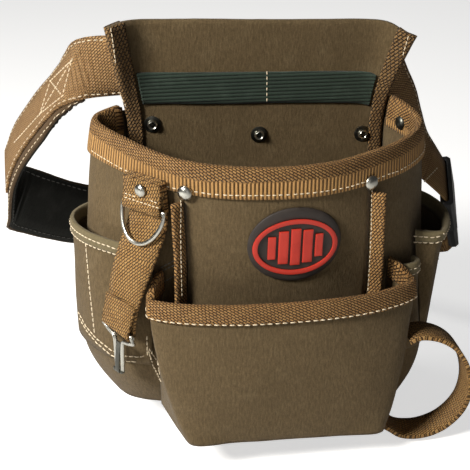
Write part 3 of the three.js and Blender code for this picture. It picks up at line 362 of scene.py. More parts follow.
canvasLooks = {
    "canvas": {"color": rgb(0.190, 0.132, 0.067), "dark": rgb(0.070, 0.048, 0.021), "dust": rgb(0.33, 0.25, 0.14),
               "threads": 1050.0, "bump": 0.5, "patches": 0.25, "specks": 0.35, "streaks": 0.6},
    # the next finish is the same canvas painted darker: painted shade for the inside of the pouch, the pocket bottoms
    # and the corner strips
    "shadedInnerCanvas": {"color": rgb(0.115, 0.080, 0.045), "dark": rgb(0.06, 0.04, 0.022), "dust": rgb(0.2, 0.15, 0.1),
                    "threads": 1050.0, "bump": 0.35, "patches": 0.35, "specks": 0.3, "streaks": 0.5},
    "beltCanvas": {"color": rgb(0.125, 0.078, 0.040), "dark": rgb(0.06, 0.037, 0.02), "dust": rgb(0.22, 0.16, 0.1),
                   "threads": 1050.0, "bump": 0.35, "patches": 0.3, "specks": 0.3, "streaks": 0.5},
    "hemTape": {"color": rgb(0.215, 0.175, 0.095), "dark": rgb(0.115, 0.09, 0.05), "dust": rgb(0.35, 0.3, 0.2),
                "threads": 900.0, "bump": 0.45, "patches": 0.25, "specks": 0.3, "streaks": 0.4},
    "liningCloth": {"color": rgb(0.030, 0.031, 0.027), "dark": rgb(0.014, 0.014, 0.012), "dust": rgb(0.09, 0.09, 0.08),
                    "threads": 800.0, "bump": 0.4, "patches": 0.4, "specks": 0.3, "streaks": 0.4},
}


def canvasMaterial(name, looks):
    material, tree, shader, spot, flat = newMaterial(name, 0.92, sheen=0.10, specular=0.15)
    weave = placed(tree, "plainWeave", {"Vector": flat, "Threads": looks["threads"], "Slub": 0.5})
    cloth = placed(tree, "mottle", {"Vector": spot, "Color": looks["color"], "Dark": looks["dark"],
                                    "Dust": looks["dust"], "Patches": looks["patches"], "Specks": looks["specks"],
                                    "Dusty": 0.22, "Patch Scale": 22.0, "Speck Scale": 800.0})
    long = shaderNode(tree, "VectorMath", {0: flat, 1: (1.0, 0.28, 1.0)}, operation="MULTIPLY").outputs[0]
    streak = shaderNode(tree, "TexNoise", {"Vector": long, "Scale": 620.0, "Detail": 3.0, "Roughness": 0.7})
    streaky = shaderNode(tree, "MapRange", {"Value": streak.outputs["Fac"], "From Min": 0.36, "From Max": 0.66})
    shade = blended(tree, sums(tree, "MULTIPLY", streaky.outputs[0], looks["streaks"]), cloth["Color"], looks["dark"])
    shade = blended(tree, sums(tree, "MULTIPLY", weave["Gap"], 0.22), shade, looks["dark"])
    height = sums(tree, "MULTIPLY_ADD", streaky.outputs[0], -0.8, weave["Height"])
    surfaceOf(tree, shader, shade, height, looks["bump"], 0.0005)
    return material


webbingLooks = {
    "webbing": {"light": rgb(0.56, 0.315, 0.115), "shade": rgb(0.40, 0.205, 0.07), "deep": rgb(0.055, 0.025, 0.009),
                "turn": 0.62, "knot": 0.0036, "row": 0.0021, "gap": 0.0006},
    # the wing bindings are the same webbing painted darker, as painted shade on their side turned away from the light
    "shadedWingWebbing": {"light": rgb(0.36, 0.215, 0.09), "shade": rgb(0.24, 0.135, 0.055),
                    "deep": rgb(0.04, 0.022, 0.010), "turn": 0.62, "knot": 0.0038, "row": 0.0024, "gap": 0.0007},
    "strapWebbing": {"light": rgb(0.54, 0.315, 0.115), "shade": rgb(0.40, 0.21, 0.070),
                     "deep": rgb(0.07, 0.034, 0.011), "turn": 0.50, "knot": 0.0034, "row": 0.0021, "gap": 0.0005},
    "beltWebbing": {"light": rgb(0.56, 0.340, 0.150), "shade": rgb(0.44, 0.25, 0.10), "deep": rgb(0.15, 0.075, 0.03),
                    "turn": 0.7, "knot": 0.0032, "row": 0.0019, "gap": 0.0005},
}


rimRibs = {"below": -0.0105, "fade": 0.001, "pitch": 0.0030, "sharp": 0.9}     # the rim's lower half, in metres


def webbingMaterial(name, looks, ribbed=False):
    material, tree, shader, spot, flat = newMaterial(name, 0.85, sheen=0.06, specular=0.15)
    weave = placed(tree, "twill", {"Vector": flat, "Turn": looks["turn"], "Knot": looks["knot"], "Row": looks["row"],
                                   "Gap": looks["gap"], "Light": looks["light"], "Shade": looks["shade"],
                                   "Deep": looks["deep"]})
    colour, height = weave["Color"], weave["Height"]
    if ribbed:
        split = shaderNode(tree, "SeparateXYZ", {0: flat}).outputs
        ribs = placed(tree, "ribs", {"Position": split[0], "Pitch": rimRibs["pitch"],
                                     "Sharp": rimRibs["sharp"]})["Height"]
        ribColour = blended(tree, ribs, looks["deep"], looks["light"])
        low = shaderNode(tree, "MapRange", {"Value": split[1], "From Min": rimRibs["below"] + rimRibs["fade"],
                                            "From Max": rimRibs["below"] - rimRibs["fade"]}).outputs[0]
        colour = blended(tree, low, colour, ribColour)
        height = shaderNode(tree, "Mix", {0: low, 2: height, 3: ribs}, data_type="FLOAT").outputs[0]
    cloth = placed(tree, "mottle", {"Vector": spot, "Color": colour, "Dark": looks["deep"], "Dust": looks["light"],
                                    "Patches": 0.16, "Specks": 0.12, "Dusty": 0.15})
    surfaceOf(tree, shader, cloth["Color"], height, 1.0, 0.0011)
    return material


def elasticMaterial():
    material, tree, shader, spot, flat = newMaterial("ribbedElastic", 0.7, sheen=0.15, specular=0.35)
    split = shaderNode(tree, "SeparateXYZ", {0: flat}).outputs
    ribs = placed(tree, "ribs", {"Position": split[1], "Pitch": 0.0031, "Sharp": 0.7})["Height"]
    fine = placed(tree, "ribs", {"Position": split[0], "Pitch": 0.0011, "Sharp": 0.5})["Height"]
    lit = blended(tree, sums(tree, "MULTIPLY", ribs, fine), rgb(0.010, 0.018, 0.012), rgb(0.040, 0.072, 0.048))
    cloth = placed(tree, "mottle", {"Vector": spot, "Color": lit, "Dark": rgb(0.012, 0.02, 0.014),
                                    "Dust": rgb(0.12, 0.17, 0.13), "Patches": 0.3, "Specks": 0.2, "Dusty": 0.2})
    surfaceOf(tree, shader, cloth["Color"], sums(tree, "MULTIPLY_ADD", fine, 0.25, ribs), 0.9, 0.0008)
    return material


hardLooks = {
    "nickel": {"color": rgb(0.62, 0.61, 0.55), "worn": rgb(0.30, 0.29, 0.25), "metallic": 1.0, "coat": 0.0,
               "smooth": 0.16, "rough": 0.40, "amount": 0.5, "bump": 0.10},
    "gunmetal": {"color": rgb(0.10, 0.10, 0.085), "worn": rgb(0.42, 0.42, 0.38), "metallic": 1.0, "coat": 0.0,
                 "smooth": 0.25, "rough": 0.5, "amount": 0.4, "bump": 0.15},
    "redRubber": {"color": rgb(0.60, 0.030, 0.012), "worn": rgb(0.40, 0.018, 0.010), "metallic": 0.0, "coat": 0.15,
                  "smooth": 0.35, "rough": 0.6, "amount": 0.35, "bump": 0.2},
    "blackRubber": {"color": rgb(0.030, 0.022, 0.018), "worn": rgb(0.07, 0.055, 0.045), "metallic": 0.0, "coat": 0.0,
                    "smooth": 0.5, "rough": 0.75, "amount": 0.4, "bump": 0.3},
    "blackPlastic": {"color": rgb(0.018, 0.018, 0.019), "worn": rgb(0.06, 0.06, 0.06), "metallic": 0.0, "coat": 0.05,
                     "smooth": 0.35, "rough": 0.55, "amount": 0.3, "bump": 0.15},
}


def hardMaterial(name, looks):
    material, tree, shader, spot, _ = newMaterial(name, 0.4, metallic=looks["metallic"], coat=looks["coat"])
    scuffs = placed(tree, "scuffs", {"Vector": spot, "Color": looks["color"], "Worn": looks["worn"],
                                     "Amount": looks["amount"], "Smooth": looks["smooth"], "Rough": looks["rough"]})
    tree.links.new(scuffs["Roughness"], shader.inputs["Roughness"])
    surfaceOf(tree, shader, scuffs["Color"], scuffs["Height"], looks["bump"], 0.0003)
    return material


def threadMaterial(name, light, dark):
    material, tree, shader, spot, _ = newMaterial(name, 0.75, sheen=0.2, specular=0.3)
    twist = shaderNode(tree, "TexNoise", {"Vector": spot, "Scale": 900.0, "Detail": 3.0}).outputs["Fac"]
    surfaceOf(tree, shader, blended(tree, twist, dark, light), twist, 0.4, 0.0003)
    return material


stageSet = {"floor": -0.3035, "size": 6.0, "glow": 0.62, "world": 0.045, "aim": Vector((0, -0.05, -0.13))}


def stageMaterial():
    material, tree, shader, spot, _ = newMaterial("paleFloor", 0.9)
    shader.inputs["Emission Color"].default_value = rgb(1, 1, 1)
    seen = shaderNode(tree, "LightPath", {}).outputs["Is Camera Ray"]      # the pale backdrop doesn't light the cloth
    tree.links.new(sums(tree, "MULTIPLY", seen, stageSet["glow"]), shader.inputs["Emission Strength"])
    soft = shaderNode(tree, "TexNoise", {"Vector": spot, "Scale": 3.0, "Detail": 2.0}).outputs["Fac"]
    tree.links.new(blended(tree, soft, rgb(0.86, 0.86, 0.86), rgb(0.90, 0.90, 0.90)), shader.inputs["Base Color"])
    return material


materials = {name: canvasMaterial(name, looks) for name, looks in canvasLooks.items()}
materials.update({name: webbingMaterial(name, looks) for name, looks in webbingLooks.items()})
materials["rimWebbing"] = webbingMaterial("rimWebbing", webbingLooks["webbing"], ribbed=True)
materials["ribbedElastic"] = elasticMaterial()
materials.update({name: hardMaterial(name, looks) for name, looks in hardLooks.items()})
materials["creamThread"] = threadMaterial("creamThread", rgb(0.90, 0.78, 0.58), rgb(0.66, 0.52, 0.34))
materials["greyThread"] = threadMaterial("greyThread", rgb(0.20, 0.19, 0.17), rgb(0.10, 0.10, 0.09))
print("materials made:", len(materials))


noise.seed_set(7)      # the same folds in every run
drape = {               # every piece follows the same slow folds, so what is sewn together stays together
    "broad": 0.0011, "broadScale": 9.0,
    "middle": 0.00045, "middleScale": 31.0,
    "fine": 0.00012, "fineScale": 120.0,
}


def draped(point):
    way = Vector()
    for size in ("broad", "middle", "fine"):
        way += noise.noise_vector(point * drape[size + "Scale"] + Vector((3.1, 7.7, 1.3))) * drape[size]
    return point + way


pieces = {}


def finishPiece(piece, finish, *replaced, slot=None):      # gives the piece its finish, hangs it on the root body and hides the frame parts it stands for
    piece.data.materials.clear()
    piece.data.materials.append(materials[finish])
    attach(piece, "root")
    if replaced:
        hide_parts(*replaced)
    pieces[piece.name] = piece


def smoothed(piece):
    for face in piece.data.polygons:
        face.use_smooth = True


def only(piece):
    bpy.ops.object.select_all(action="DESELECT")
    piece.select_set(True)
    bpy.context.view_layer.objects.active = piece


def applyAll(piece):
    only(piece)
    for modifier in list(piece.modifiers):
        bpy.ops.object.modifier_apply(modifier=modifier.name)


def copied(node, name, levels=2, sharp=52, crease=1.0, bevel=0.0):
    piece = bpy.data.objects.new(name, nodes[node].data.copy())    # the frame's own shape, merged and made smooth
    bpy.context.scene.collection.objects.link(piece)
    only(piece)
    bpy.ops.object.mode_set(mode="EDIT")
    bpy.ops.mesh.select_mode(type="VERT")
    bpy.ops.mesh.select_all(action="SELECT")
    bpy.ops.mesh.remove_doubles(threshold=0.00001)
    bpy.ops.mesh.customdata_custom_splitnormals_clear()
    bpy.ops.mesh.tris_convert_to_quads(face_threshold=math.radians(35), shape_threshold=math.radians(100))
    bpy.ops.mesh.select_all(action="DESELECT")
    bpy.ops.mesh.select_mode(type="EDGE")
    bpy.ops.mesh.edges_select_sharp(sharpness=math.radians(sharp))
    bpy.ops.transform.edge_crease(value=crease)
    bpy.ops.object.mode_set(mode="OBJECT")
    if bevel:
        rounded = piece.modifiers.new("rounded", "BEVEL")
        rounded.width, rounded.segments, rounded.limit_method = bevel, 3, "ANGLE"
        rounded.angle_limit = math.radians(sharp)
    if levels:
        smoother = piece.modifiers.new("smoother", "SUBSURF")
        smoother.levels = smoother.render_levels = levels
    applyAll(piece)
    for vertex in piece.data.vertices:
        vertex.co = draped(vertex.co)
    smoothed(piece)
    if bevel or not levels:
        only(piece)
        bpy.ops.object.shade_smooth_by_angle(angle=math.radians(40))
    return piece


def sideWays(across, count):   # one way across the band, or that between two lines at each step
    if len(across) == 3:
        return [Vector(across).normalized()] * count
    low, high = route(across[0]), route(across[1])
    return [(high[i] - low[i]).normalized() for i in range(count)]


def unwrapAlong(piece, name, across="height"):
    line = np.array([list(p) for p in route(name)])    # u runs along the line, v across it, both in metres
    starts, steps = line[:-1], line[1:] - line[:-1]
    lengths = np.linalg.norm(steps, axis=1)
    before = np.concatenate([[0.0], np.cumsum(lengths)[:-1]])
    mesh = piece.data
    spots = np.empty(len(mesh.vertices) * 3)
    mesh.vertices.foreach_get("co", spots)
    spots = spots.reshape(-1, 3)
    flatten = np.array([1.0, 1.0, 0.0]) if across in ("height", "folded") else np.ones(3)
    edges = None if isinstance(across, str) else np.array(sideWays(across, len(starts)))
    best = np.full(len(spots), 1e9)
    u, v = np.zeros(len(spots)), np.zeros(len(spots))
    for index, (start, step, length, run) in enumerate(zip(starts, steps, lengths, before)):
        size = max(float((step * flatten) @ (step * flatten)), 1e-12)
        share = ((spots - start) * flatten) @ (step * flatten) / size
        kept = np.clip(share, 0, 1)
        away = spots - (start + kept[:, None] * step)
        distance = np.linalg.norm(away * flatten, axis=1)
        along = step / length
        if across == "height":
            side = spots[:, 2]
        elif across == "folded":
            outward = np.cross(along, [0, 0, 1.0])
            side = away[:, 2] - away @ (outward / max(np.linalg.norm(outward), 1e-9))
        else:
            side = away @ edges[index]
        nearer = distance < best
        best[nearer] = distance[nearer]
        u[nearer] = (run + np.clip(share, -0.5, 1.5) * length)[nearer]
        v[nearer] = np.broadcast_to(side, u.shape)[nearer]
    layer = mesh.uv_layers.new(name="flat") if not mesh.uv_layers else mesh.uv_layers[0]
    corners = np.empty(len(mesh.loops), dtype=np.int32)
    mesh.loops.foreach_get("vertex_index", corners)
    layer.data.foreach_set("uv", np.stack([u[corners], v[corners]], axis=1).ravel())


clothPieces = {         # node: (piece, finish, line, how v is measured)
    "back_panel": ("backPanelCanvas", "canvas", "panelLine", "height"),
    "gusset_left": ("leftGussetCanvas", "canvas", "bodyLine", "height"),
    "front_panel": ("frontPanelCanvas", "canvas", "bodyLine", "height"),
    "gusset_right": ("rightGussetCanvas", "canvas", "bodyLine", "height"),
    # both bottoms take the darker canvas, as painted shade inside the pouch and the front pocket
    "pouch_bottom": ("pouchBottomCanvas", "shadedInnerCanvas", "panelLine", (0, 1, 0)),
    "front_pocket": ("frontPocketCanvas", "canvas", "pocketLine", "height"),
    "front_pocket_bottom": ("frontPocketBottomCanvas", "shadedInnerCanvas", "panelLine", (0, 1, 0)),
    "side_pocket_left": ("leftPocketCanvas", "canvas", "sidePocketLeft", "height"),
    "side_pocket_right_rear": ("rightRearPocketCanvas", "canvas", "sidePocketRightRear", "height"),
    "side_pocket_right_front": ("rightFrontPocketCanvas", "canvas", "sidePocketRightFront", "height"),
    "rim_webbing": ("rimBinding", "rimWebbing", "rimLine", "folded"),
    "front_pocket_tape": ("frontPocketBinding", "webbing", "pocketLine", "folded"),
    # the wing bindings take the darker webbing: painted shade
    "wing_tape_left": ("leftWingBinding", "shadedWingWebbing", "leftWingLine", (1, 0, 0)),
    "wing_tape_right": ("rightWingBinding", "shadedWingWebbing", "rightWingLine", (1, 0, 0)),
    "seam_fin_left": ("leftSeamBinding", "webbing", "leftFinLine", (-0.82, -0.57, 0)),
    "seam_fin_right": ("rightSeamBinding", "webbing", "rightFinLine", (0.82, -0.57, 0)),
    "side_pocket_left_hem": ("leftPocketHem", "hemTape", "sidePocketLeft", "folded"),
    "side_pocket_right_rear_hem": ("rightRearPocketHem", "hemTape", "sidePocketRightRear", "folded"),
    "side_pocket_right_front_hem": ("rightFrontPocketHem", "hemTape", "sidePocketRightFront", "folded"),
    "elastic_strip": ("elasticBand", "ribbedElastic", "panelLine", "height"),
    "hanging_strap": ("hangingStrap", "strapWebbing", "strapLine", (0.62, -0.78, 0)),
    "ring_keeper": ("ringKeeper", "strapWebbing", "strapLine", (0.62, -0.78, 0)),
    "hammer_loop": ("hammerLoop", "strapWebbing", "loopLine", (0, 1, 0)),
    "belt_webbing": ("beltWebbing", "beltWebbing", "webbingLine", ("webbingLow", "webbingTop")),
    "belt_tail": ("beltTail", "beltWebbing", "beltTailLine", (0.6, -0.55, 0.58)),
    "belt_cover": ("beltCover", "beltCanvas", "padLine", ("padLow", "padTop")),
    "belt_lining": ("beltLining", "liningCloth", "padLine", ("padLow", "padTop")),
}

rimReach = 0.87         # how much of the frame's reach below the rim the binding keeps
padEnd = {"steps": 6, "reach": 0.055, "least": 0.62, "near": 0.05}     # the pad narrows towards the webbing
tuckedEdge = {"pouch_bottom": 0.0019, "front_pocket_bottom": 0.0010}    # turned into the seam of the walls


def nearestOn(line, spot, level=False):     # distance, way run along the line, place, and number of the step
    run, best = 0.0, None
    flatten = Vector((1, 1, 0 if level else 1))
    for index, (a, b) in enumerate(zip(line[:-1], line[1:])):
        step = (b - a) * flatten
        share = max(0.0, min(1.0, ((spot - a) * flatten).dot(step) / step.length_squared))
        place = a.lerp(b, share)
        distance = ((spot - place) * flatten).length
        if best is None or distance < best[0]:
            best = (distance, run + share * step.length, place, index)
        run += step.length
    return best


def shortened(piece, line):     # a binding reaches less far below its rim
    for vertex in piece.data.vertices:
        top = nearestOn(line, vertex.co, level=True)[2].z
        if vertex.co.z < top:
            vertex.co.z = top + (vertex.co.z - top) * rimReach


def narrowedStart(piece, line, ways):
    for vertex in piece.data.vertices:
        distance, along, place, index = nearestOn(line[:padEnd["steps"] + 1], vertex.co)
        if along < padEnd["reach"] and distance < padEnd["near"]:
            side = (vertex.co - place).dot(ways[index])
            factor = padEnd["least"] + (1 - padEnd["least"]) * (along / padEnd["reach"]) ** 0.8
            vertex.co += ways[index] * side * (factor - 1)


def tucked(piece, reach):
    spots = [vertex.co for vertex in piece.data.vertices]
    middle = sum(spots, Vector()) / len(spots)
    half = [max((spot - middle)[axis] for spot in spots) for axis in (0, 1)]
    for vertex in piece.data.vertices:
        for axis in (0, 1):
            vertex.co[axis] += (vertex.co[axis] - middle[axis]) * reach / half[axis]


for node, (name, finish, line, across) in clothPieces.items():
    piece = copied(node, name, levels=1 if node in tuckedEdge else 2)
    if node in ("belt_cover", "belt_lining"):
        narrowedStart(piece, route(line), sideWays(across, padEnd["steps"]))
    elif node == "rim_webbing":
        shortened(piece, route(line))
    elif node in tuckedEdge:
        tucked(piece, tuckedEdge[node])
    unwrapAlong(piece, line, across)
    finishPiece(piece, finish, node)
print("cloth, bindings and straps made:", len(pieces))


sideSeam = {            # bound seams that close the corners between panel and gussets, as (z, left x, right x)
    "rows": [(-36, -112, 109), (-60, -110, 107), (-90, -110, 107), (-120, -112, 109), (-160, -115, 112),
             (-200, -118, 114), (-230, -117, 113), (-250, -113, 110), (-268, -107, 106)],
    "profile": [(-9.0, -2.6), (-5.5, -0.2), (-2.2, 1.2), (1.5, 2.4), (6.0, 2.6)],   # inward from the edge, and back
    "thick": 0.0012,
}


def makeSideSeam(name, side):
    rows, profile = sideSeam["rows"], sideSeam["profile"]
    bpy.ops.mesh.primitive_grid_add(x_subdivisions=len(profile) - 1, y_subdivisions=len(rows) - 1, size=1)
    piece = bpy.context.object
    piece.name = name
    for index, vertex in enumerate(piece.data.vertices):
        z, left, right = rows[index // len(profile)]
        inward, back = profile[index % len(profile)]
        edge = left if side < 0 else right
        vertex.co = draped(Vector((edge - side * inward, back, z)) / 1000)
    only(piece)
    wall = piece.modifiers.new("wall", "SOLIDIFY")
    wall.thickness, wall.offset = sideSeam["thick"], 0
    smoother = piece.modifiers.new("smoother", "SUBSURF")
    smoother.levels = smoother.render_levels = 2
    applyAll(piece)
    smoothed(piece)
    unwrapAlong(piece, "panelLine", "height")
    # the corner strips take the darker canvas, as painted shade in the pouch's corners
    finishPiece(piece, "shadedInnerCanvas")


makeSideSeam("leftSideSeam", -1)
makeSideSeam("rightSideSeam", 1)


hardPieces = {          # node: (piece, finish, smoothing levels, corner radius, how much stouter than the frame's)
    "d_ring": ("strapRing", "nickel", 2, 0.0, 0.0001),
    "clip_frame": ("clipFrame", "nickel", 2, 0.0, 0.0007),
    "clip_tongue": ("clipTongue", "gunmetal", 0, 0.0003, 0.0),
    "badge_patch": ("badgeBacking", "blackRubber", 2, 0.0, 0.0),
    "buckle_socket": ("buckleSocket", "blackPlastic", 0, 0.0012, 0.0),
    "buckle_prongs": ("buckleProngs", "blackPlastic", 0, 0.0012, 0.0),
}
for node, (name, finish, levels, bevel, stouter) in hardPieces.items():
    piece = copied(node, name, levels, bevel=bevel)
    for vertex in piece.data.vertices:
        vertex.co += vertex.normal * stouter
    finishPiece(piece, finish, node)
print("metal, rubber and plastic made:", len(hardPieces))

clipBar = {             # the dark bar that ends the clip, on the lowest part of its frame
    "size": (0.0112, 0.0042, 0.0036), "turn": -0.90, "corner": 0.0011, "segments": 4,
    "band": 0.004, "shift": Vector((-0.0004, -0.0006, -0.0014)),
}


def makeClipBar():
    spots = [vertex.co for vertex in pieces["clipFrame"].data.vertices]
    low = min(spot.z for spot in spots) + clipBar["band"]
    near = [spot for spot in spots if spot.z < low]
    bpy.ops.mesh.primitive_cube_add(size=1)
    piece = bpy.context.object
    piece.name = "clipBar"
    piece.data.transform(Matrix.Translation(sum(near, Vector()) / len(near) + clipBar["shift"])
                         @ Matrix.Rotation(clipBar["turn"], 4, "Z") @ Matrix.Diagonal((*clipBar["size"], 1)))
    corner = piece.modifiers.new("corner", "BEVEL")
    corner.width, corner.segments = clipBar["corner"], clipBar["segments"]
    applyAll(piece)
    smoothed(piece)
    finishPiece(piece, "gunmetal")


makeClipBar()


rivetShape = {          # profile of a domed head and of a hollow one, as shares of radius and height
    "domed": [(0.0, 0.0), (1.0, 0.0), (1.03, 0.18), (0.96, 0.40), (0.78, 0.70), (0.5, 0.92), (0.2, 1.0), (0.0, 1.0)],
    "hollow": [(0.0, 0.0), (1.0, 0.0), (1.0, 0.22), (0.92, 0.70), (0.74, 0.86), (0.56, 0.78),
               (0.48, 0.55), (0.46, 0.30), (0.0, 0.26)],
    "steps": 40,
}
rivetList = {           # node: (piece, profile, finish, radius, height)
    "rim_rivet_left": ("leftRimRivet", "domed", "nickel", 0.0058, 0.0034),
    "rim_rivet_right": ("rightRimRivet", "domed", "nickel", 0.0058, 0.0034),
    "rim_end_rivet": ("rimEndRivet", "domed", "gunmetal", 0.0056, 0.0028),
    "keeper_rivet": ("keeperRivet", "domed", "nickel", 0.0052, 0.0030),
    "back_rivet_left": ("leftBackRivet", "hollow", "nickel", 0.0070, 0.0034),
    "back_rivet_centre": ("middleBackRivet", "hollow", "nickel", 0.0070, 0.0034),
    "back_rivet_right": ("rightBackRivet", "hollow", "nickel", 0.0070, 0.0034),
}


def headFacing(node):   # where the frame's rivet head sits, and the way that it faces, from its flat underside
    faces = nodes[node].data.polygons
    areas = {}
    for face in faces:
        key = tuple(round(c, 2) for c in face.normal)
        areas[key] = areas.get(key, 0.0) + face.area
    facing = -Vector(max(areas, key=areas.get)).normalized()
    seat, area = Vector(), 0.0
    for face in faces:
        if face.normal.dot(-facing) > 0.99:
            seat += face.center * face.area
            area += face.area
    return seat / area, facing


def lathe(name, profile, radius, height, seat, facing):
    bpy.ops.mesh.primitive_circle_add(vertices=rivetShape["steps"], radius=radius, fill_type="NGON")
    piece = bpy.context.object
    piece.name = name
    bpy.ops.object.mode_set(mode="EDIT")
    bpy.ops.mesh.select_mode(type="FACE")
    bpy.ops.mesh.select_all(action="SELECT")
    reach, rise = 1.0, 0.0
    for share, level in profile[2:]:
        bpy.ops.mesh.extrude_region_move(TRANSFORM_OT_translate={"value": (0, 0, (level - rise) * height)})
        narrower = share / reach if share > 0.001 else 0.05
        bpy.ops.transform.resize(value=(narrower, narrower, 1))
        reach, rise = share, level
    bpy.ops.mesh.select_all(action="SELECT")
    bpy.ops.mesh.normals_make_consistent(inside=False)
    bpy.ops.object.mode_set(mode="OBJECT")
    turn = Vector((0, 0, 1)).rotation_difference(facing).to_matrix().to_4x4()
    piece.data.transform(Matrix.Translation(draped(seat)) @ turn)
    only(piece)
    bpy.ops.object.shade_smooth_by_angle(angle=math.radians(50))
    return piece


for node, (name, profile, finish, radius, height) in rivetList.items():
    seat, facing = headFacing(node)
    if profile == "hollow":         # a dark washer under a bright hollow head
        base = rivetShape["domed"][:3]
        washer = lathe(name + "Washer", base + [(0.9, 0.3), (0.0, 0.3)], radius, height * 0.9, seat, facing)
        finishPiece(washer, "gunmetal", node)
        # a dark plug fills the hollow head's middle: painted shade of the rivet's hole
        holeShade = lathe(name + "HoleShade", base + [(0.7, 0.85), (0.0, 0.9)], radius * 0.27, height * 1.35, seat, facing)
        finishPiece(holeShade, "gunmetal")
        finishPiece(lathe(name, rivetShape["hollow"], radius * 0.62, height * 1.5, seat, facing), finish)
    else:
        finishPiece(lathe(name, rivetShape["domed"], radius, height, seat, facing), finish, node, slot="nickel")
print("rivets made:", len(rivetList))


badge = {
    "centre": (0.0085, -0.109),   # x and z of the patch's middle
    "rimOuter": (0.0335, 0.0245), "rimInner": (0.0295, 0.0205),
    "bars": [(-0.0185, 0.0062, 0.0200), (-0.0095, 0.0078, 0.0290), (0.0, 0.0078, 0.0320), (0.0095, 0.0078, 0.0290),
             (0.0185, 0.0062, 0.0200)],   # place, width, height
    "rise": 0.0002, "thick": 0.0012, "steps": 72,
}


def treeOf(*names):
    spots, faces = [], []
    for name in names:
        mesh = pieces[name].data
        base = len(spots)
        spots += [vertex.co.copy() for vertex in mesh.vertices]
        faces += [[i + base for i in face.vertices] for face in mesh.polygons]
    return BVHTree.FromPolygons(spots, faces)


def ontoBadge(piece):
    backing = treeOf("badgeBacking")
    only(piece)
    wall = piece.modifiers.new("wall", "SOLIDIFY")
    wall.thickness, wall.offset = badge["thick"], 1
    edge = piece.modifiers.new("edge", "BEVEL")
    edge.width, edge.segments, edge.limit_method = badge["thick"] * 0.3, 2, "ANGLE"
    applyAll(piece)
    for vertex in piece.data.vertices:      # laid on the patch's curved face
        x, z, proud = vertex.co.x, vertex.co.z, -vertex.co.y
        hit = backing.ray_cast(Vector((x, -0.3, z)), Vector((0, 1, 0)))[0]
        if hit is None:
            hit = backing.find_nearest(Vector((x, -0.127, z)))[0]
        vertex.co = Vector((x, hit.y - proud - badge["rise"], z))
    bpy.ops.object.shade_smooth_by_angle(angle=math.radians(40))


def badgeRing():
    centre = badge["centre"]
    bpy.ops.mesh.primitive_circle_add(vertices=badge["steps"], radius=1, fill_type="NOTHING",
                                      rotation=(math.radians(90), 0, 0))
    ring = bpy.context.object
    ring.name = "badgeRing"
    bpy.ops.object.transform_apply(location=True, rotation=True, scale=True)
    bpy.ops.object.mode_set(mode="EDIT")
    bpy.ops.mesh.select_all(action="SELECT")
    outer, inner = badge["rimOuter"], badge["rimInner"]
    bpy.ops.transform.resize(value=(outer[0], 1, outer[1]))
    bpy.ops.mesh.extrude_edges_move()
    bpy.ops.transform.resize(value=(inner[0] / outer[0], 1, inner[1] / outer[1]))
    bpy.ops.mesh.select_all(action="SELECT")
    bpy.ops.transform.translate(value=(centre[0], 0, centre[1]))
    bpy.ops.mesh.normals_make_consistent(inside=False)
    bpy.ops.object.mode_set(mode="OBJECT")
    if ring.data.polygons[0].normal.y > 0:
        ring.data.flip_normals()
    return ring


def badgeBar(index, place, width, height):
    centre = badge["centre"]
    bpy.ops.mesh.primitive_grid_add(x_subdivisions=4, y_subdivisions=14, size=1, rotation=(math.radians(90), 0, 0))
    bar = bpy.context.object
    bar.name = f"badgeBar{index}"
    bar.scale = (width, height, 1)
    bar.location = (centre[0] + place, 0, centre[1])
    bpy.ops.object.transform_apply(location=True, rotation=True, scale=True)
    if bar.data.polygons[0].normal.y > 0:
        bar.data.flip_normals()
    return bar


badgePieces = [badgeRing()] + [badgeBar(i + 1, *bar) for i, bar in enumerate(badge["bars"])]
for piece in badgePieces:
    ontoBadge(piece)
    finishPiece(piece, "redRubber")
print("badge made")


stitchShape = {"sides": 6, "sink": 0.00025, "gap": 0.008, "wobble": 0.12}


def modelStitch():      # one short stitch along X, its ends going down into the cloth
    bpy.ops.mesh.primitive_cylinder_add(vertices=stitchShape["sides"], radius=0.5, depth=0.5,
                                        rotation=(0, math.radians(90), 0))
    stitch = bpy.context.object
    bpy.ops.object.transform_apply(location=True, rotation=True, scale=True)
    bpy.ops.object.mode_set(mode="EDIT")
    for sign in (-1, 1):
        bpy.ops.mesh.select_mode(type="FACE")
        bpy.ops.mesh.select_all(action="DESELECT")
        bpy.ops.object.mode_set(mode="OBJECT")
        for face in stitch.data.polygons:
            face.select = face.center.x * sign > 0.2
        bpy.ops.object.mode_set(mode="EDIT")
        bpy.ops.mesh.extrude_region_move(TRANSFORM_OT_translate={"value": (0.25 * sign, 0, -0.35)})
        bpy.ops.transform.resize(value=(1, 0.5, 0.5))
    bpy.ops.object.mode_set(mode="OBJECT")
    shape = ([v.co.copy() for v in stitch.data.vertices], [list(f.vertices) for f in stitch.data.polygons])
    bpy.data.objects.remove(stitch)
    return shape


stitchPoints, stitchFaces = modelStitch()


def onSurface(surface, line, outward=None):
    found = []          # points of the photograph are cast onto the cloth, others drop to its nearest place
    if len(line[0]) == 2:
        for (x0, y0), (x1, y1) in zip(line[:-1], line[1:]):
            count = max(2, int(math.hypot(x1 - x0, y1 - y0) * 1.5))
            for k in range(count):
                start, way = photoRay(x0 + (x1 - x0) * k / count, y0 + (y1 - y0) * k / count)
                hit, normal, _, _ = surface.ray_cast(start, way)
                if hit is not None:
                    found.append((hit, normal if normal.dot(way) < 0 else -normal))
        return found
    for a, b in zip(line[:-1], line[1:]):
        count = max(2, int((b - a).length * 700))
        for k in range(count):
            spot = a.lerp(b, k / count)
            hit, normal, _, _ = surface.find_nearest(spot)
            found.append((hit, normal if normal.dot(spot - hit) >= 0 else -normal))
    return found


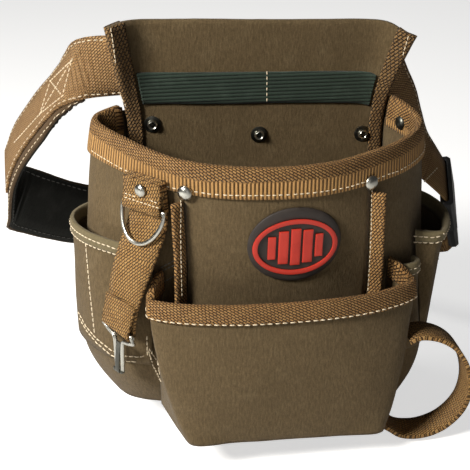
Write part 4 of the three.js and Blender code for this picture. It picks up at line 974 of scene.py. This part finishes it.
def sewn(name, lines, cloth, length, space, width, thread="creamThread"):
    surface = treeOf(*cloth)
    spots, faces = [], []
    for line in lines:
        found = onSurface(surface, line)
        if len(found) < 3:
            continue
        run, due = 0.0, 0.0
        for (here, normal), (after, _) in zip(found[:-1], found[1:]):
            step = after - here
            if step.length > stitchShape["gap"]:
                due = run + step.length     # a gap in the cloth starts a new row
            run += step.length
            if run < due or step.length < 1e-7:
                continue
            due = run + length + space
            along = (step - normal * step.dot(normal)).normalized()
            side = normal.cross(along)
            wobble = noise.noise(here * 300) * stitchShape["wobble"]
            along = (along + side * wobble).normalized()
            side = normal.cross(along)
            base = len(spots)
            for p in stitchPoints:
                spots.append(here + along * (p.x * length) + side * (p.y * width)
                             + normal * (p.z * width * 0.8 + stitchShape["sink"]))
            faces += [[i + base for i in loop] for loop in stitchFaces]
    mesh = bpy.data.meshes.new(name)
    mesh.from_pydata([tuple(p) for p in spots], [], faces)
    piece = bpy.data.objects.new(name, mesh)
    bpy.context.scene.collection.objects.link(piece)
    smoothed(piece)
    finishPiece(piece, thread)


def lowered(name, drop, out=0.0):
    line = route(name)
    moved = []
    for i, spot in enumerate(line):
        along = line[min(i + 1, len(line) - 1)] - line[max(i - 1, 0)]
        outward = along.cross(Vector((0, 0, 1))).normalized()
        moved.append(spot + Vector((0, 0, -drop)) + outward * out)
    return moved


def hemRows(name, drops):
    return [lowered(name, drop, 0.006) for drop in drops]


def crossed(corners, *more):       # the four sides of a box of stitches, and further lines
    return [list(side) for side in zip(corners, corners[1:] + corners[:1])] + [list(line) for line in more]


seams = [   # name, lines (pixels of the photograph, or points in metres), cloth, length, space, width, other thread
    ("rimStitching", hemRows("rimLine", [0.0186]), ["rimBinding"], 0.0032, 0.0012, 0.0010),
    ("frontPocketStitching", hemRows("pocketLine", [0.0112]), ["frontPocketBinding"], 0.0040, 0.0010, 0.0011),
    ("leftSeamStitching", [[(181, 196), (180.5, 230), (181, 262), (182, 300)]], ["leftSeamBinding"],
     0.0032, 0.0008, 0.0010),
    ("rightSeamStitching", [[(372, 190), (371.5, 230), (370, 262), (368, 292)]], ["rightSeamBinding"],
     0.0028, 0.0010, 0.0009),
    ("leftHemStitching", hemRows("sidePocketLeft", [0.0030, 0.0112]), ["leftPocketHem"], 0.0036, 0.0006, 0.0011),
    ("rightRearHemStitching", hemRows("sidePocketRightRear", [0.0030, 0.0105]), ["rightRearPocketHem"],
     0.0036, 0.0006, 0.0011),
    ("rightFrontHemStitching", hemRows("sidePocketRightFront", [0.0030, 0.0085]), ["rightFrontPocketHem"],
     0.0030, 0.0006, 0.0009),
    ("leftPocketStitching", [[(79, 313), (86, 326), (96, 338), (111, 350), (125, 356), (140, 357), (147, 355)],
                             [(80, 319), (87, 331), (97, 343), (111, 355), (125, 361), (140, 362)],
                             [(147, 338), (147.5, 356)], [(86, 245), (90, 290), (95, 336)]],
     ["leftPocketCanvas", "leftGussetCanvas"], 0.0040, 0.0005, 0.0012),
    ("rightPocketStitching", [[(404, 331), (414, 330), (421, 327), (427, 321)]],
     ["rightRearPocketCanvas", "rightFrontPocketCanvas", "rightGussetCanvas"], 0.0036, 0.0008, 0.0011),
    ("leftWingStitching", [[(111, 30), (112.5, 40), (114, 50), (116, 66)], [(118, 88), (122, 98), (127, 108)]],
     ["leftWingBinding"], 0.0034, 0.0008, 0.0010),
    ("rightWingStitching", [[(408, 38), (403, 55)], [(397, 80), (391, 100)], [(383, 115), (386, 134), (388, 150)]],
     ["rightWingBinding"], 0.0034, 0.0008, 0.0010),
    ("elasticTack", [[(267, 73), (267, 102)]], ["elasticBand"], 0.0030, 0.0016, 0.0011),
    ("keeperStitching", [[(126, 197.5), (143, 203), (160, 208.5)], [(126, 193.5), (136, 197)],
                         [(152, 201), (160, 204.5)]], ["ringKeeper"], 0.0026, 0.0010, 0.0008),
    ("beltBoxStitching", crossed([(72, 60), (62.5, 96), (40, 114), (50.5, 81)], [(72, 60), (40, 114)],
                                 [(50.5, 81), (62.5, 96)], [(40, 114), (14, 143)]),
     ["beltWebbing"], 0.0034, 0.0008, 0.0011),
    ("beltEdgeStitching", [route("padTop"), route("padLow")], ["beltCover"], 0.0038, 0.0012, 0.0009),
    ("looseThread", [[(149, 352), (153, 365), (162, 383)], [(150, 350), (158, 362), (160, 376)]],
     ["leftPocketCanvas", "frontPocketCanvas", "leftGussetCanvas"], 0.0030, 0.0001, 0.0012),
    ("leftHemEnd", [[(162, 267), (179, 258)], [(162, 271), (180, 262)], [(164, 282), (180, 272)]],
     ["leftGussetCanvas", "frontPanelCanvas"], 0.0030, 0.0005, 0.0009, "greyThread"),
    ("rightBeltStitching", [[(424, 182), (439, 166)], [(436, 209), (449, 201)]], ["beltWebbing"],
     0.0034, 0.0008, 0.0011),
    ("liningStitching", [route("liningTop"), route("liningLow")], ["beltLining"], 0.0038, 0.0012, 0.0009,
     "greyThread"),
    ("beltWebbingEdges", [route("webbingTop"), route("webbingLow")], ["beltWebbing"], 0.0034, 0.0012, 0.0009),
]
for seam in seams:
    sewn(*seam)
print("seams sewn:", len(seams))


def makeStage():
    bpy.ops.mesh.primitive_plane_add(size=stageSet["size"], location=(0, 0, stageSet["floor"]))
    floor = bpy.context.object
    floor.name = "paleFloor"
    floor.data.materials.append(stageMaterial())


lights = {              # place, power in watts, size in metres, colour
    "keyLight": ((-1.10, -0.68, 0.78), 31.0, 0.34, (1.0, 0.97, 0.91)),
    "topLight": ((-0.6, 0.2, 1.5), 4.5, 0.5, (1.0, 0.98, 0.94)),
    "fillLight": ((-0.1, -1.6, 0.2), 1.3, 1.0, (1.0, 0.98, 0.94)),
}


def makeLights():
    for name, (place, power, size, colour) in lights.items():
        bpy.ops.object.light_add(type="AREA", location=place)
        lamp = bpy.context.object
        lamp.name = name
        lamp.data.energy, lamp.data.size, lamp.data.color = power, size, colour
        lamp.rotation_mode = "QUATERNION"
        lamp.rotation_quaternion = (stageSet["aim"] - Vector(place)).to_track_quat("-Z", "Y")
    world = bpy.data.worlds.new("studio")
    bpy.context.scene.world = world
    world.use_nodes = True
    background = world.node_tree.nodes["Background"].inputs
    background["Color"].default_value = rgb(1, 1, 1)
    background["Strength"].default_value = stageSet["world"]
    bpy.context.scene.view_settings.view_transform = "Standard"


makeStage()
makeLights()
print("stage and lights made")
